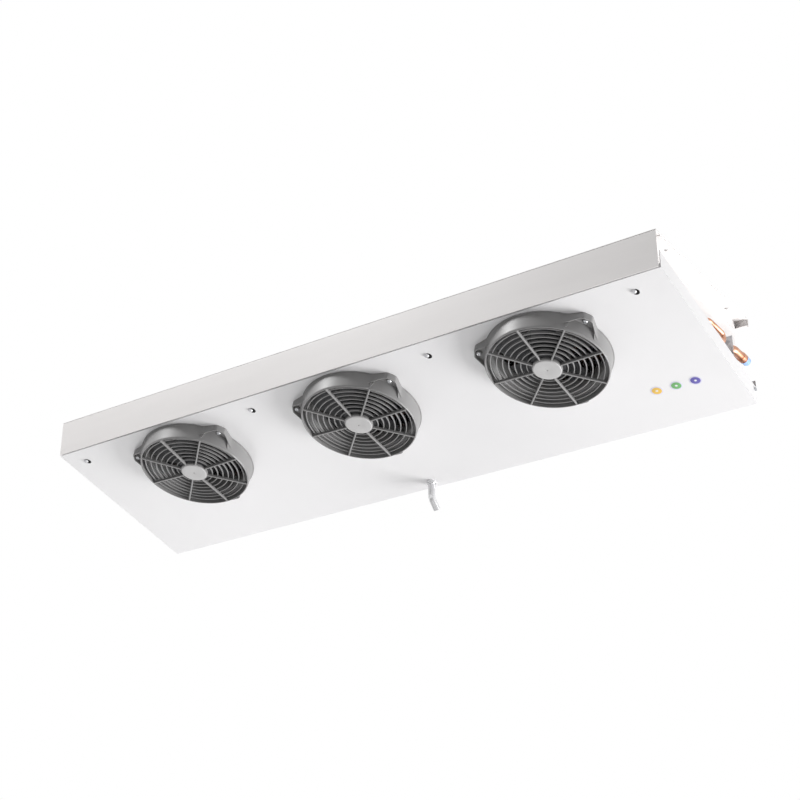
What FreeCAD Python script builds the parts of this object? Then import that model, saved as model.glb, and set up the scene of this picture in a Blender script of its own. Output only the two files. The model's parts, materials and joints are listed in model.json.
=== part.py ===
import FreeCAD, Part
import math
import os

from FreeCAD import Placement, Rotation, Vector

# A ceiling-hung unit cooler. Millimetres. X runs along the casing, +Y towards the air outlet,
# +Z up. The origin is the middle of the four hanger holes, in the casing's top face.
#
# Two directions are used besides X: "slope" runs down the tray from its back edge towards the
# outlet, and "lift" stands square to the tray's lower face, pointing into the casing.

# ------------------------------------------------------------------ driving sizes: casing
casing_length = 1396.0
casing_depth = 386.4
back_height = 74.0
tray_slope_degrees = 15.0
casing_sheet = 1.0
bend_radius = 1.0
back_lip = 18.0
front_lip = 18.0
front_hem = 10.0
hanger_spacing_y = 250.0
hanger_hole_radius = 5.0
hanger_leg = 24.0
hanger_sheet = 2.5
hanger_drop = 22.0
end_inset = 25.0
end_sheet = 1.5
end_front_bottom = -126.0
tray_clearance = 2.8

# ------------------------------------------------------------------ driving sizes: tray
tray_overhang = 3.0
tray_sheet = 1.2
tray_bend_outer = 2.2
tray_back_gap = 2.5
tray_back_flange = 8.0
tray_end_flange = 32.0
tray_front_flange = 48.0
tray_screw_slope = 39.0
tray_screw_left_inset = 45.5
tray_screw_right_inset = 67.0
tray_screw_radius = 2.75
tray_screw_hole_radius = 3.3
tray_screw_head_radius = 6.5
tray_screw_head_height = 5.2
tray_screw_length = 6.4

# ------------------------------------------------------------------ driving sizes: tray hinge
hinge_inset = 9.0
hinge_rise = 27.0
hinge_pin_radius = 3.5
hinge_running_gap = 0.05
hinge_pin_end = 2.5
hinge_head_radius = 5.5
hinge_head_thickness = 1.5
hinge_arm_sheet = 2.5
hinge_arm_half_width = 6.0
hinge_arm_length = 52.0
front_sweep_gap = 1.3

# ------------------------------------------------------------------ driving sizes: fans
fan_count = 3
fan_pitch = 417.4
fan_slope = 126.0
guard_height = 34.0
guard_lip_radius = 118.0
guard_lip_height = 2.2
guard_wall_radius = 116.4
guard_crown_radius = 114.0
guard_mouth_radius = 111.0
throat_radius = 101.0
spigot_radius = 103.4
spigot_height = 24.0
spigot_fit = 0.8
mouth_depth = 18.0
bell_depth = 10.0
crown_depth = 2.6
crown_inset = 1.5
spoke_count = 8
spoke_width = 3.6
spoke_depth = 2.4
spoke_bite = 0.2
ring_count = 7
first_ring_radius = 37.6
ring_spacing = 11.1
ring_width = 2.0
ring_depth = 4.6
hub_radius = 28.0
hub_drop = 2.4
hub_thickness = 6.0
hub_recess_radius = 24.0
hub_recess_depth = 2.2
hub_disc_radius = 26.5
hub_disc_thickness = 1.4
lug_angles = (-30.0, 90.0, 210.0)
lug_screw_radius = 126.0
lug_radius = 9.5
lug_floor = 11.5
lug_top_at_wall = 25.0
lug_pocket_radius = 6.9
lug_root_half_width = 21.0
lug_root_cover = 1.5
guard_screw_radius = 1.9
guard_screw_fit = 0.2
guard_screw_head_radius = 4.4
guard_screw_head_height = 2.6
guard_screw_length = 16.0

# ------------------------------------------------------------------ driving sizes: motors
motor_radius = 36.0
motor_length = 30.0
motor_stud_radius = 4.0
motor_stud_fit = 0.2
motor_nut_across = 13.0
shaft_radius = 3.0
shaft_running_gap = 0.05
shaft_length = 44.0
shaft_seat = 6.0
impeller_radius = 98.5
impeller_hub_radius = 40.0
impeller_hub_height = 18.0
impeller_hub_gap = 1.5
blade_count = 5
blade_thickness = 1.8
blade_chord = 50.0
blade_camber = 5.0
blade_pitch_degrees = 24.0
blade_lean_degrees = 10.0

# ------------------------------------------------------------------ driving sizes: coil
fin_block_length = 1250.0
fin_spacing = 12.5
fin_thickness = 0.3
coil_top_gap = 3.0
coil_row_pitch = 27.5
coil_tube_pitch = 31.75
coil_rows = 3
coil_tubes_high = 4
coil_tube_radius = 6.35
tube_stickout = 7.0
coil_bend_steps = 2
tube_sheet = 1.5
tube_sheet_flange = 15.0
baffle_slope_gap = 5.0
baffle_setback = 30.0
baffle_foot = 12.0

# ------------------------------------------------------------------ driving sizes: pipework
recess_pipe_inset = 12.5
suction_radius = 7.94
suction_elbow = 13.0
suction_level = -88.0
suction_end = 176.0
suction_socket_radius = 9.2
suction_socket_length = 16.0
suction_cap_radius = 9.0
suction_cap_length = 16.0
header_x_gap = 21.0
header_radius = 8.0
bracket_y = 113.0
bracket_sheet = 1.5
bracket_reach = 22.0
bracket_top = -68.5
bracket_bottom = -112.0
bracket_foot = 14.0
liquid_radius = 4.76
liquid_elbow = 12.0
liquid_level = -75.0
liquid_exit_y = 19.0
liquid_hairpin_y = 79.0
liquid_hairpin_radius = 9.0
liquid_end_y = -4.0
liquid_cap_radius = 6.0
liquid_cap_length = 14.0
distributor_y = 43.0
distributor_length = 24.0
distributor_radius = 6.5
distributor_head_radius = 10.0
distributor_x_gap = 35.0
feeder_radius = 2.4
feeder_bend = 7.0
feeder_rise = 6.0
pipe_hole_gap = 2.0

# ------------------------------------------------------------------ driving sizes: drain
drain_slope = 381.0
drain_outer_radius = 7.2
drain_end_radius = 7.5
drain_bore_radius = 6.0
drain_drop = 34.0
drain_bend_radius = 16.0
drain_bend_degrees = 45.0
drain_tail = 20.0
drain_collar_radius = 11.2
drain_collar_height = 3.0
drain_nut_across = 24.0
drain_nut_thickness = 3.0
drain_fit = 0.3

# ------------------------------------------------------------------ driving sizes: brackets, wiring
foot_sheet = 1.5
foot_width = 20.0
foot_length = 26.0
foot_gap = 0.4
clip_nut_side = 11.0
bracket_edge = 4.0
bracket_rise = 16.0
clip_nut_sheet = 2.0
divider_back_gap = 6.0
box_y = -113.0
box_length = 70.0
box_height = 50.0
box_depth = 34.0
box_lid = 2.5
box_top = -10.0
gland_radius = 9.0
gland_hex_across = 22.0
gland_hex_height = 6.0
gland_tail = 5.0
gland_bore_radius = 4.0
gland_y = -150.0
gland_level = -40.0

# ------------------------------------------------------------------ places worked out from them
X_AXIS = Vector(1, 0, 0)
Y_AXIS = Vector(0, 1, 0)
Z_AXIS = Vector(0, 0, 1)
slope_angle = math.radians(tray_slope_degrees)
back_y = -casing_depth / 2.0
front_y = casing_depth / 2.0
half_length = casing_length / 2.0
half_tray = half_length + tray_overhang
end_face = half_length - end_inset
inner_front_y = front_y - front_hem - bend_radius
sheet_face = fin_block_length / 2.0
slope_length = casing_depth / math.cos(slope_angle)
hinge_y = front_y - hinge_inset
hinge_z = -back_height - casing_depth * math.tan(slope_angle) + hinge_rise
fan_places = [(index - (fan_count - 1) / 2.0) * fan_pitch for index in range(fan_count)]
hub_face = -guard_height - hub_drop
motor_seat = hub_face + hub_thickness
motor_top = motor_seat + motor_length
suction_exit_y = bracket_y + bracket_sheet + suction_radius + 0.4
coil_depth = coil_row_pitch * coil_rows
coil_back = suction_exit_y - coil_depth / 2.0
coil_front = coil_back + coil_depth
coil_top = -casing_sheet - coil_top_gap
coil_bottom = coil_top - coil_tube_pitch * coil_tubes_high
recess_x = half_tray - recess_pipe_inset
hanger_spacing_x = 2.0 * (end_face + hanger_leg / 2.0)
tray_screw_places = [
    -half_tray + tray_screw_left_inset,
    -fan_pitch / 2.0,
    fan_pitch / 2.0,
    half_tray - tray_screw_right_inset,
]

parts = {}


# ------------------------------------------------------------------ helpers
def on_tray(x, slope, lift):
    """A point given by its distance down the tray and its height above the tray's lower face."""
    y = back_y + slope * math.cos(slope_angle) + lift * math.sin(slope_angle)
    z = -back_height - slope * math.sin(slope_angle) + lift * math.cos(slope_angle)
    return Vector(x, y, z)


def place_on_tray(shape, x=0.0, slope=0.0):
    """Turns a shape drawn with z along the lift onto the tray, its origin at (x, slope)."""
    placed = shape.copy()
    turn = Rotation(X_AXIS, -tray_slope_degrees)
    placed.Placement = Placement(on_tray(x, slope, 0.0), turn).multiply(placed.Placement)
    return placed


def tray_z(y, lift=0.0):
    """Height of the plane that lies lift above the tray's lower face, at y."""
    return -back_height - (y - back_y) * math.tan(slope_angle) + lift / math.cos(slope_angle)


def box(x0, x1, y0, y1, z0, z1):
    return Part.makeBox(x1 - x0, y1 - y0, z1 - z0, Vector(x0, y0, z0))


def rod(radius, start, end):
    line = end.sub(start)
    return Part.makeCylinder(radius, line.Length, start, line)


def side_plate(outline, x0, x1):
    """A flat plate whose outline is given as (y, z) points, between x0 and x1."""
    corners = [Vector(x0, y, z) for y, z in outline]
    face = Part.Face(Part.makePolygon(corners + corners[:1]))
    return face.extrude(Vector(x1 - x0, 0, 0))


def mirrored(shape):
    """The same shape on the other side of the middle plane x = 0."""
    return shape.mirror(Vector(0, 0, 0), X_AXIS)


def joined(shapes):
    """One solid from several that overlap or share faces."""
    result = shapes[0]
    if len(shapes) > 1:
        result = result.fuse(shapes[1:])
    return result.removeSplitter()


def group(shapes):
    """Several separate solids that share one node."""
    return Part.makeCompound([solid for shape in shapes for solid in shape.Solids])


def parallel_points(points, distance):
    """The open line moved to its left by distance, with mitred corners (normal is +X)."""
    moved = []
    last = len(points) - 1
    for index, point in enumerate(points):
        before = points[max(index - 1, 0)]
        after = points[min(index + 1, last)]
        first = (point.sub(before) if index else after.sub(point)).normalize()
        second = (after.sub(point) if index < last else point.sub(before)).normalize()
        normal = X_AXIS.cross(first).add(X_AXIS.cross(second))
        moved.append(point.add(normal.multiply(distance / (1.0 + first.dot(second)))))
    return moved


def rounded_line(points, radii):
    """Edges of the open line, with an arc of the given radius at each inner corner."""
    edges = []
    start = points[0]
    for index in range(1, len(points) - 1):
        corner = points[index]
        before = corner.sub(points[index - 1]).normalize()
        after = points[index + 1].sub(corner).normalize()
        turn = before.getAngle(after)
        radius = radii[index]
        cut = radius * math.tan(turn / 2.0)
        arc_start = corner.sub(before * cut)
        arc_end = corner.add(after * cut)
        inward = after.sub(before).normalize()
        centre = corner.add(inward * (radius / math.cos(turn / 2.0)))
        middle = centre.sub(inward * radius)
        edges.append(Part.LineSegment(start, arc_start).toShape())
        edges.append(Part.Arc(arc_start, middle, arc_end).toShape())
        start = arc_end
    edges.append(Part.LineSegment(start, points[-1]).toShape())
    return edges


def folded_sheet(outline, thickness, x0, x1):
    """Folded sheet metal: the (y, z) line is one face, the sheet lies to its left."""
    first = [Vector(x0, y, z) for y, z in outline]
    second = parallel_points(first, thickness)
    radii_first = [0.0] * len(first)
    radii_second = [0.0] * len(first)
    for index in range(1, len(first) - 1):
        before = first[index].sub(first[index - 1])
        after = first[index + 1].sub(first[index])
        turns_left = before.cross(after).x > 0
        radii_first[index] = bend_radius + thickness if turns_left else bend_radius
        radii_second[index] = bend_radius if turns_left else bend_radius + thickness
    edges = rounded_line(first, radii_first)
    edges.append(Part.LineSegment(first[-1], second[-1]).toShape())
    edges.extend(rounded_line(second[::-1], radii_second[::-1]))
    edges.append(Part.LineSegment(second[0], first[0]).toShape())
    return Part.Face(Part.Wire(Part.__sortEdges__(edges))).extrude(Vector(x1 - x0, 0, 0))


def stepped_corners(points, bends, steps_per_quarter):
    """The line with each corner replaced by short chords that touch that corner's bend."""
    line = [points[0]]
    for index in range(1, len(points) - 1):
        corner = points[index]
        bend = bends[index - 1]
        before = corner.sub(points[index - 1]).normalize()
        after = points[index + 1].sub(corner).normalize()
        turn = before.getAngle(after)
        steps = max(1, math.ceil(steps_per_quarter * turn / math.pi * 2.0 - 0.01))
        step = turn / steps
        axis = before.cross(after).normalize()
        centre = corner.sub(before * (bend * math.tan(turn / 2.0))).add(axis.cross(before) * bend)
        reach = axis.cross(before) * (-bend / math.cos(step / 2.0))
        for number in range(steps):
            swing = Rotation(axis, math.degrees(step * (number + 0.5)))
            line.append(centre.add(swing.multVec(reach)))
    line.append(points[-1])
    return line


def bent_rod(points, bend, radius, steps_per_quarter=3):
    """A round rod along straight runs, whose bends are mitred in a few short steps.

    bend is one radius for all the corners, or a list with one for each.
    """
    bends = bend if isinstance(bend, list) else [bend] * (len(points) - 2)
    line = stepped_corners(points, bends, steps_per_quarter)
    section = Part.Wire(Part.makeCircle(radius, line[0], line[1].sub(line[0])))
    mitred_corners = 1
    return Part.makePolygon(line).makePipeShell([section], True, False, mitred_corners)


def turned(profile):
    """A solid of revolution about z from edges in the x-z plane."""
    face = Part.Face(Part.Wire(Part.__sortEdges__(profile)))
    return face.revolve(Vector(0, 0, 0), Z_AXIS, 360)


def outline_edges(points):
    """Straight edges round a closed (radius, height) outline."""
    corners = [Vector(radius, 0, height) for radius, height in points]
    pairs = zip(corners, corners[1:] + corners[:1])
    return [Part.LineSegment(first, second).toShape() for first, second in pairs]


def domed_screw(shank, length, head, head_height):
    """A screw along z: its shank stands up from z = 0 and its head, part of a ball, hangs below."""
    ball = (head ** 2 + head_height ** 2) / (2.0 * head_height)
    centre = ball - head_height
    half_way = (math.asin(head / ball) if centre > 0 else math.pi - math.asin(head / ball)) / 2.0
    crown = [
        Part.LineSegment(Vector(0, 0, 0), Vector(head, 0, 0)).toShape(),
        Part.Arc(
            Vector(head, 0, 0),
            Vector(ball * math.sin(half_way), 0, centre - ball * math.cos(half_way)),
            Vector(0, 0, -head_height),
        ).toShape(),
        Part.LineSegment(Vector(0, 0, -head_height), Vector(0, 0, 0)).toShape(),
    ]
    return joined([turned(crown), Part.makeCylinder(shank, length)])


def hexagon(across, z0, z1):
    """A hexagonal prism about z, given its size across flats."""
    radius = across / math.sqrt(3.0)
    corners = []
    for index in range(6):
        turn = math.radians(60.0 * index)
        corners.append(Vector(radius * math.cos(turn), radius * math.sin(turn), z0))
    return Part.Face(Part.makePolygon(corners + corners[:1])).extrude(Vector(0, 0, z1 - z0))


def upright_outline(front, front_corner_low, lift):
    """(y, z) outline of an upright plate: under the panels' lips, and above the tray by lift.

    front is the plate's front edge. Where front_corner_low is given, the lower front corner stops
    at that height until it is clear of the tray front's path.
    """
    back = back_y + casing_sheet
    lip_end = back_y + back_lip + 0.5
    ease = bend_radius + 0.2
    flange_y = back + tray_back_gap + tray_sheet + 1.0
    flange_z = tray_z(back_y) + tray_back_flange
    outline = [
        (back, -2.0 * casing_sheet - ease),
        (back + ease, -2.0 * casing_sheet),
        (lip_end, -2.0 * casing_sheet),
        (lip_end, -casing_sheet),
        (front, -casing_sheet),
    ]
    low_y = front
    if front_corner_low is not None:
        low_y = front_corner()
        outline += [(front, front_corner_low), (low_y, front_corner_low)]
    outline += [
        (low_y, tray_z(low_y, lift)),
        (flange_y, tray_z(flange_y, lift)),
        (flange_y, flange_z + 1.0),
        (back, flange_z + 1.0),
    ]
    return outline


def front_corner():
    """How far forward an upright plate may reach low down, clear of the tray front's path."""
    sweep = math.hypot(hinge_inset, tray_front_flange - hinge_rise) + front_sweep_gap
    return hinge_y - sweep


def along_x(radius, x0, x1, y, z):
    return rod(radius, Vector(x0, y, z), Vector(x1, y, z))


# ------------------------------------------------------------------ casing
def back_panel():
    outline = [
        (back_y + back_lip, -casing_sheet),
        (back_y, -casing_sheet),
        (back_y, -back_height),
    ]
    return folded_sheet(outline, casing_sheet, -half_length, half_length)


def top_panel():
    outline = [
        (front_y - front_hem, -front_lip),
        (front_y, -front_lip),
        (front_y, 0.0),
        (back_y, 0.0),
    ]
    return folded_sheet(outline, casing_sheet, -half_length, half_length).cut(hanger_holes())


def hanger_holes():
    depth = casing_sheet + hanger_sheet
    holes = []
    for x in (-hanger_spacing_x / 2.0, hanger_spacing_x / 2.0):
        for y in (-hanger_spacing_y / 2.0, hanger_spacing_y / 2.0):
            hole = Part.makeCylinder(hanger_hole_radius, depth * 3.0, Vector(x, y, -depth * 2.0))
            holes.append(hole)
    return group(holes)


def hanger_angle():
    """Right-hand angle under the top panel's overhang; the two hanger rods pass through it."""
    top = -casing_sheet
    y0 = back_y + back_lip + 2.0
    y1 = front_y - front_hem - 2.0
    flat_leg = box(end_face, end_face + hanger_leg, y0, y1, top - hanger_sheet, top)
    drop_leg = box(end_face, end_face + hanger_sheet, y0, y1, top - hanger_drop, top)
    return joined([flat_leg, drop_leg]).cut(hanger_holes())


def end_plate():
    """Right-hand end plate, with a front return that closes the return-bend space."""
    outline = upright_outline(inner_front_y, end_front_bottom, tray_sheet + tray_clearance)
    side = side_plate(outline, end_face - end_sheet, end_face)
    front = box(
        sheet_face + tube_sheet + 1.0,
        end_face,
        inner_front_y - end_sheet,
        inner_front_y,
        end_front_bottom,
        -casing_sheet,
    )
    return joined([side, front])


def pipe_slot(y0, y1, level, radius):
    """A round-ended slot through the right-hand end plate."""
    x0 = end_face - 3.0 * end_sheet
    x1 = end_face + end_sheet
    middle = box(x0, x1, y0, y1, level - radius, level + radius)
    return joined([middle, along_x(radius, x0, x1, y0, level), along_x(radius, x0, x1, y1, level)])


def end_plate_right():
    """The right-hand plate has a slot for each refrigerant pipe."""
    plate = end_plate()
    for y, level, radius in (
        (suction_exit_y, suction_level, suction_radius + pipe_hole_gap),
        (liquid_exit_y, liquid_level, liquid_radius + pipe_hole_gap),
    ):
        plate = plate.cut(pipe_slot(y, y + pipe_hole_gap, level, radius))
    return plate


def end_plate_left():
    """The left-hand plate has the cable gland's hole."""
    plate = mirrored(end_plate())
    hole = along_x(gland_radius, -end_face - end_sheet, -end_face + 3 * end_sheet, gland_y, gland_level)
    return plate.cut(hole)


def divider():
    """An upright plate between two fans, with a foot that takes one of the tray's screws.

    Drawn for a screw at x = 0, so the plate stands beside the foot.
    """
    lift = tray_sheet + foot_gap + foot_sheet
    edge = -foot_width / 2.0
    plate = side_plate(upright_outline(coil_back - divider_back_gap, None, lift), edge, edge + casing_sheet)
    return joined([plate, tray_foot(foot_width)])


def tray_foot(width):
    """A foot that lies just above the tray round a tray screw, drawn about x = 0."""
    lift = tray_sheet + foot_gap
    foot = Part.makeBox(width, foot_length, foot_sheet, Vector(-width / 2.0, -foot_length / 2.0, lift))
    hole = Part.makeCylinder(tray_screw_hole_radius, foot_sheet * 3.0, Vector(0, 0, lift - foot_sheet))
    return place_on_tray(foot.cut(hole), 0.0, tray_screw_slope)


def moved_x(shape, x):
    placed = shape.copy()
    placed.translate(Vector(x, 0, 0))
    return placed


def tray_bracket(screw_x, side):
    """An angle on the tube sheet's outer face, whose foot takes the tray screw at screw_x."""
    inner = side * (sheet_face + tube_sheet)
    outer = screw_x + side * (tray_screw_hole_radius + bracket_edge)
    x0 = min(inner, outer)
    x1 = max(inner, outer)
    lift = tray_sheet + foot_gap
    foot = Part.makeBox(x1 - x0, foot_length, foot_sheet, Vector(x0, -foot_length / 2.0, lift))
    leg_x = inner if side > 0 else inner - foot_sheet
    leg = Part.makeBox(foot_sheet, foot_length, bracket_rise, Vector(leg_x, -foot_length / 2.0, lift))
    hole = Part.makeCylinder(tray_screw_hole_radius, 20.0, Vector(screw_x, 0, lift - foot_sheet))
    bracket = joined([foot, leg]).cut(hole)
    return place_on_tray(bracket, 0.0, tray_screw_slope)


def clip_nut():
    """A square nut on top of a foot, drawn about x = 0."""
    seat = tray_sheet + foot_gap + foot_sheet
    half = clip_nut_side / 2.0
    plate = Part.makeBox(clip_nut_side, clip_nut_side, clip_nut_sheet, Vector(-half, -half, seat))
    return plate.cut(Part.makeCylinder(tray_screw_hole_radius, 10.0, Vector(0, 0, seat - 1.0)))


# ------------------------------------------------------------------ tray and its hinge
def tray_block(inset, bend):
    """The tray's outside as a filled block, moved in by inset on every walled side."""
    tall = 60.0
    y0 = back_y + casing_sheet + tray_back_gap + inset
    y1 = front_y - inset
    outline = [
        (y0, tray_z(y0, inset)),
        (y1, tray_z(y1, inset)),
        (y1, tray_z(y1, inset) + tall),
        (y0, tray_z(y0, inset) + tall),
    ]
    block = side_plate(outline, -half_tray + inset, half_tray - inset)
    low = min(block.Faces, key=lambda face: face.CenterOfMass.z)
    return block.makeFillet(bend, low.Edges)


def tray_panel():
    tall = 90.0
    y0 = back_y + casing_sheet + tray_back_gap
    inner_y0 = y0 + tray_sheet
    inner_y1 = front_y - tray_sheet
    inner_x = half_tray - tray_sheet
    tray = tray_block(0.0, tray_bend_outer).cut(tray_block(tray_sheet, tray_bend_outer - tray_sheet))
    above_ends = side_plate(
        [
            (y0 - 1.0, tray_z(y0 - 1.0, tray_end_flange)),
            (inner_y1, tray_z(inner_y1, tray_end_flange)),
            (inner_y1, tall),
            (y0 - 1.0, tall),
        ],
        -half_tray - 1.0,
        half_tray + 1.0,
    )
    back_top = tray_z(y0) + tray_back_flange
    above_back = box(-inner_x, inner_x, y0 - 1.0, inner_y0, back_top, tall)
    front_top = tray_z(front_y) + tray_front_flange
    above_front = box(-half_tray - 1.0, half_tray + 1.0, inner_y1, front_y + 1.0, front_top, tall)
    return tray.cut([above_ends, above_back, above_front] + tray_holes())


def tray_holes():
    holes = []
    for x in fan_places:
        opening = Part.makeCylinder(spigot_radius + spigot_fit, 20.0, Vector(0, 0, -10))
        holes.append(place_on_tray(opening, x, fan_slope))
        for point in lug_points():
            hole = Part.makeCylinder(guard_screw_radius + guard_screw_fit, 20.0, point + Vector(0, 0, -10))
            holes.append(place_on_tray(hole, x, fan_slope))
    for x in tray_screw_places:
        hole = Part.makeCylinder(tray_screw_radius + drain_fit, 20.0, Vector(0, 0, -10))
        holes.append(place_on_tray(hole, x, tray_screw_slope))
    centre = on_tray(0.0, drain_slope, 0.0)
    holes.append(Part.makeCylinder(drain_outer_radius + drain_fit, 20.0, centre - Vector(0, 0, 10)))
    bearing = hinge_pin_radius + hinge_running_gap
    holes.append(along_x(bearing, -half_tray - 5, half_tray + 5, hinge_y, hinge_z))
    return holes


def tray_screws():
    screw = domed_screw(
        tray_screw_radius, tray_screw_length, tray_screw_head_radius, tray_screw_head_height
    )
    return [place_on_tray(screw, x, tray_screw_slope) for x in tray_screw_places]


def hinge_arm():
    """Right-hand hinge arm: a flat bar on the end plate that reaches down to the pin."""
    turn = Rotation(X_AXIS, -tray_slope_degrees)
    half = hinge_arm_half_width
    bar = Part.makeBox(hinge_arm_sheet, hinge_arm_length, 2 * half, Vector(0, -hinge_arm_length, -half))
    eye = Part.makeCylinder(half, hinge_arm_sheet, Vector(0, 0, 0), X_AXIS)
    arm = joined([bar, eye])
    arm = arm.cut(Part.makeCylinder(hinge_pin_radius, 20.0, Vector(-5, 0, 0), X_AXIS))
    arm.Placement = Placement(Vector(end_face, hinge_y, hinge_z), turn)
    return arm


def hinge_pin():
    """Right-hand pin: riveted in the arm, running out through the tray's end flange."""
    inner_head = end_face - hinge_head_thickness
    return joined([
        along_x(hinge_head_radius, inner_head, end_face, hinge_y, hinge_z),
        along_x(hinge_pin_radius, inner_head, half_tray + hinge_pin_end, hinge_y, hinge_z),
    ])


# ------------------------------------------------------------------ drain
def drain_path(start_lift):
    top = on_tray(0.0, drain_slope, 0.0) + Vector(0, 0, start_lift)
    bend = on_tray(0.0, drain_slope, 0.0) - Vector(0, 0, drain_drop)
    angle = math.radians(drain_bend_degrees)
    cut = drain_bend_radius * math.tan(angle / 2.0)
    tail = Vector(0, math.sin(angle), -math.cos(angle)) * (drain_tail + cut)
    return [top, bend, bend + tail]


def tray_slab(lift0, lift1):
    """A thick slab between two planes parallel to the tray, near the drain."""
    slab = Part.makeBox(60.0, 60.0, lift1 - lift0, Vector(-30.0, -30.0, lift0))
    return place_on_tray(slab, 0.0, drain_slope)


def drain_spout():
    """The outlet: a tube through the tray with a collar below it, bent towards the room.

    Its last straight run is a little thicker, for the hose that is clamped on it.
    """
    nut_top = tray_sheet + drain_nut_thickness
    centre = on_tray(0.0, drain_slope, 0.0)
    outside = bent_rod(drain_path(10.0), drain_bend_radius, drain_outer_radius)
    outside = outside.common(tray_slab(-80.0, nut_top + 0.5))
    collar = Part.makeCylinder(
        drain_collar_radius, 30.0, centre - Vector(0, 0, drain_collar_height + 2.0)
    ).common(tray_slab(-30.0, 0.0))
    bore_path = drain_path(20.0)
    tail = bore_path[-1].sub(bore_path[-2]).normalize()
    hose_end = rod(drain_end_radius, bore_path[-1].sub(tail * drain_tail), bore_path[-1])
    bore_path[-1] = bore_path[-1].add(tail * 5.0)
    return joined([outside, collar, hose_end]).cut(bent_rod(bore_path, drain_bend_radius, drain_bore_radius))


def drain_nut():
    """The nut inside the tray that clamps the outlet's collar to the tray."""
    nut = hexagon(drain_nut_across, tray_sheet, tray_sheet + drain_nut_thickness)
    nut = place_on_tray(nut, 0.0, drain_slope)
    centre = on_tray(0.0, drain_slope, 0.0)
    bore = Part.makeCylinder(drain_outer_radius + drain_fit, 60.0, centre - Vector(0, 0, 30))
    return nut.cut(bore)


# ------------------------------------------------------------------ fans
def lug_points():
    points = []
    for angle in lug_angles:
        turn = math.radians(angle)
        points.append(Vector(lug_screw_radius * math.cos(turn), lug_screw_radius * math.sin(turn), 0))
    return points


def guard_ring():
    """The moulded ring: base lip, drafted wall, eased crown, wide mouth, bell and throat spigot."""
    crown = -guard_height
    return turned(outline_edges([
        (throat_radius, spigot_height),
        (spigot_radius, spigot_height),
        (spigot_radius, 0),
        (guard_lip_radius, 0),
        (guard_lip_radius, -guard_lip_height),
        (guard_wall_radius, -guard_lip_height),
        (guard_crown_radius, crown + crown_depth),
        (guard_crown_radius - crown_inset, crown),
        (guard_mouth_radius, crown),
        (guard_mouth_radius, crown + mouth_depth),
        (throat_radius, crown + mouth_depth + bell_depth),
    ]))


def grille_level(radius):
    """Lift of the grille's lower face: level with the crown at the rim, lower at the hub."""
    share = (guard_mouth_radius - radius) / (guard_mouth_radius - hub_radius)
    return -guard_height - hub_drop * share


def spoke():
    """One spoke, drawn along +X: it sinks slightly from the rim to the hub's face."""
    inner = hub_radius - 1.0
    outer = guard_mouth_radius + 0.7
    corners = [
        (inner, hub_face),
        (outer, -guard_height),
        (outer, -guard_height + spoke_depth),
        (inner, hub_face + spoke_depth),
    ]
    points = [Vector(radius, -spoke_width / 2.0, level) for radius, level in corners]
    face = Part.Face(Part.makePolygon(points + points[:1]))
    return face.extrude(Vector(0, spoke_width, 0))


def guard_loop(index):
    """One ring of the grille: an upright band on the spokes' inner side."""
    radius = first_ring_radius + index * ring_spacing
    level = grille_level(radius) + spoke_depth - spoke_bite
    half = ring_width / 2.0
    return turned(outline_edges([
        (radius - half, level),
        (radius + half, level),
        (radius + half, level + ring_depth),
        (radius - half, level + ring_depth),
    ]))


def guard_hub():
    return turned(outline_edges([
        (0.0, hub_face + hub_recess_depth),
        (hub_recess_radius, hub_face + hub_recess_depth),
        (hub_recess_radius, hub_face),
        (hub_radius, hub_face),
        (hub_radius, motor_seat),
        (0.0, motor_seat),
    ]))


def lug(angle):
    """A mounting ear: it swells out of the wall, and a pocket in it holds the screw."""
    reach = lug_screw_radius + lug_radius
    side_x = lug_screw_radius + lug_radius * 0.25
    side_y = math.sqrt(lug_radius ** 2 - (side_x - lug_screw_radius) ** 2)
    root = guard_mouth_radius + lug_root_cover
    points = [
        Vector(root, -lug_root_half_width, 0),
        Vector(guard_crown_radius - 1.0, -lug_root_half_width, 0),
        Vector(side_x, -side_y, 0),
    ]
    mirrored_points = [Vector(point.x, -point.y, 0) for point in reversed(points)]
    edges = [Part.LineSegment(a, b).toShape() for a, b in zip(points, points[1:])]
    edges.append(Part.Arc(points[-1], Vector(reach, 0, 0), mirrored_points[0]).toShape())
    edges += [Part.LineSegment(a, b).toShape() for a, b in zip(mirrored_points, mirrored_points[1:])]
    edges.append(Part.LineSegment(mirrored_points[-1], points[0]).toShape())
    face = Part.Face(Part.Wire(Part.__sortEdges__(edges)))
    ear = face.extrude(Vector(0, 0, -guard_height))
    ear = ear.cut(lug_bevel(reach))
    pocket_centre = Vector(lug_screw_radius, 0, -lug_floor - guard_height)
    ear = ear.cut(Part.makeCylinder(lug_pocket_radius, guard_height, pocket_centre))
    ear.rotate(Vector(0, 0, 0), Z_AXIS, angle)
    return ear


def lug_bevel(reach):
    """What is cut off a lug: everything below a plane that rises from the wall to the ear's tip."""
    tip = -lug_floor * 0.8
    corners = [
        (guard_crown_radius, -lug_top_at_wall),
        (reach + 1.0, tip),
        (reach + 1.0, -2.0 * guard_height),
        (throat_radius - 5.0, -2.0 * guard_height),
        (throat_radius - 5.0, -lug_top_at_wall),
    ]
    points = [Vector(x, -2.0 * lug_root_half_width, z) for x, z in corners]
    face = Part.Face(Part.makePolygon(points + points[:1]))
    return face.extrude(Vector(0, 4.0 * lug_root_half_width, 0))


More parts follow.
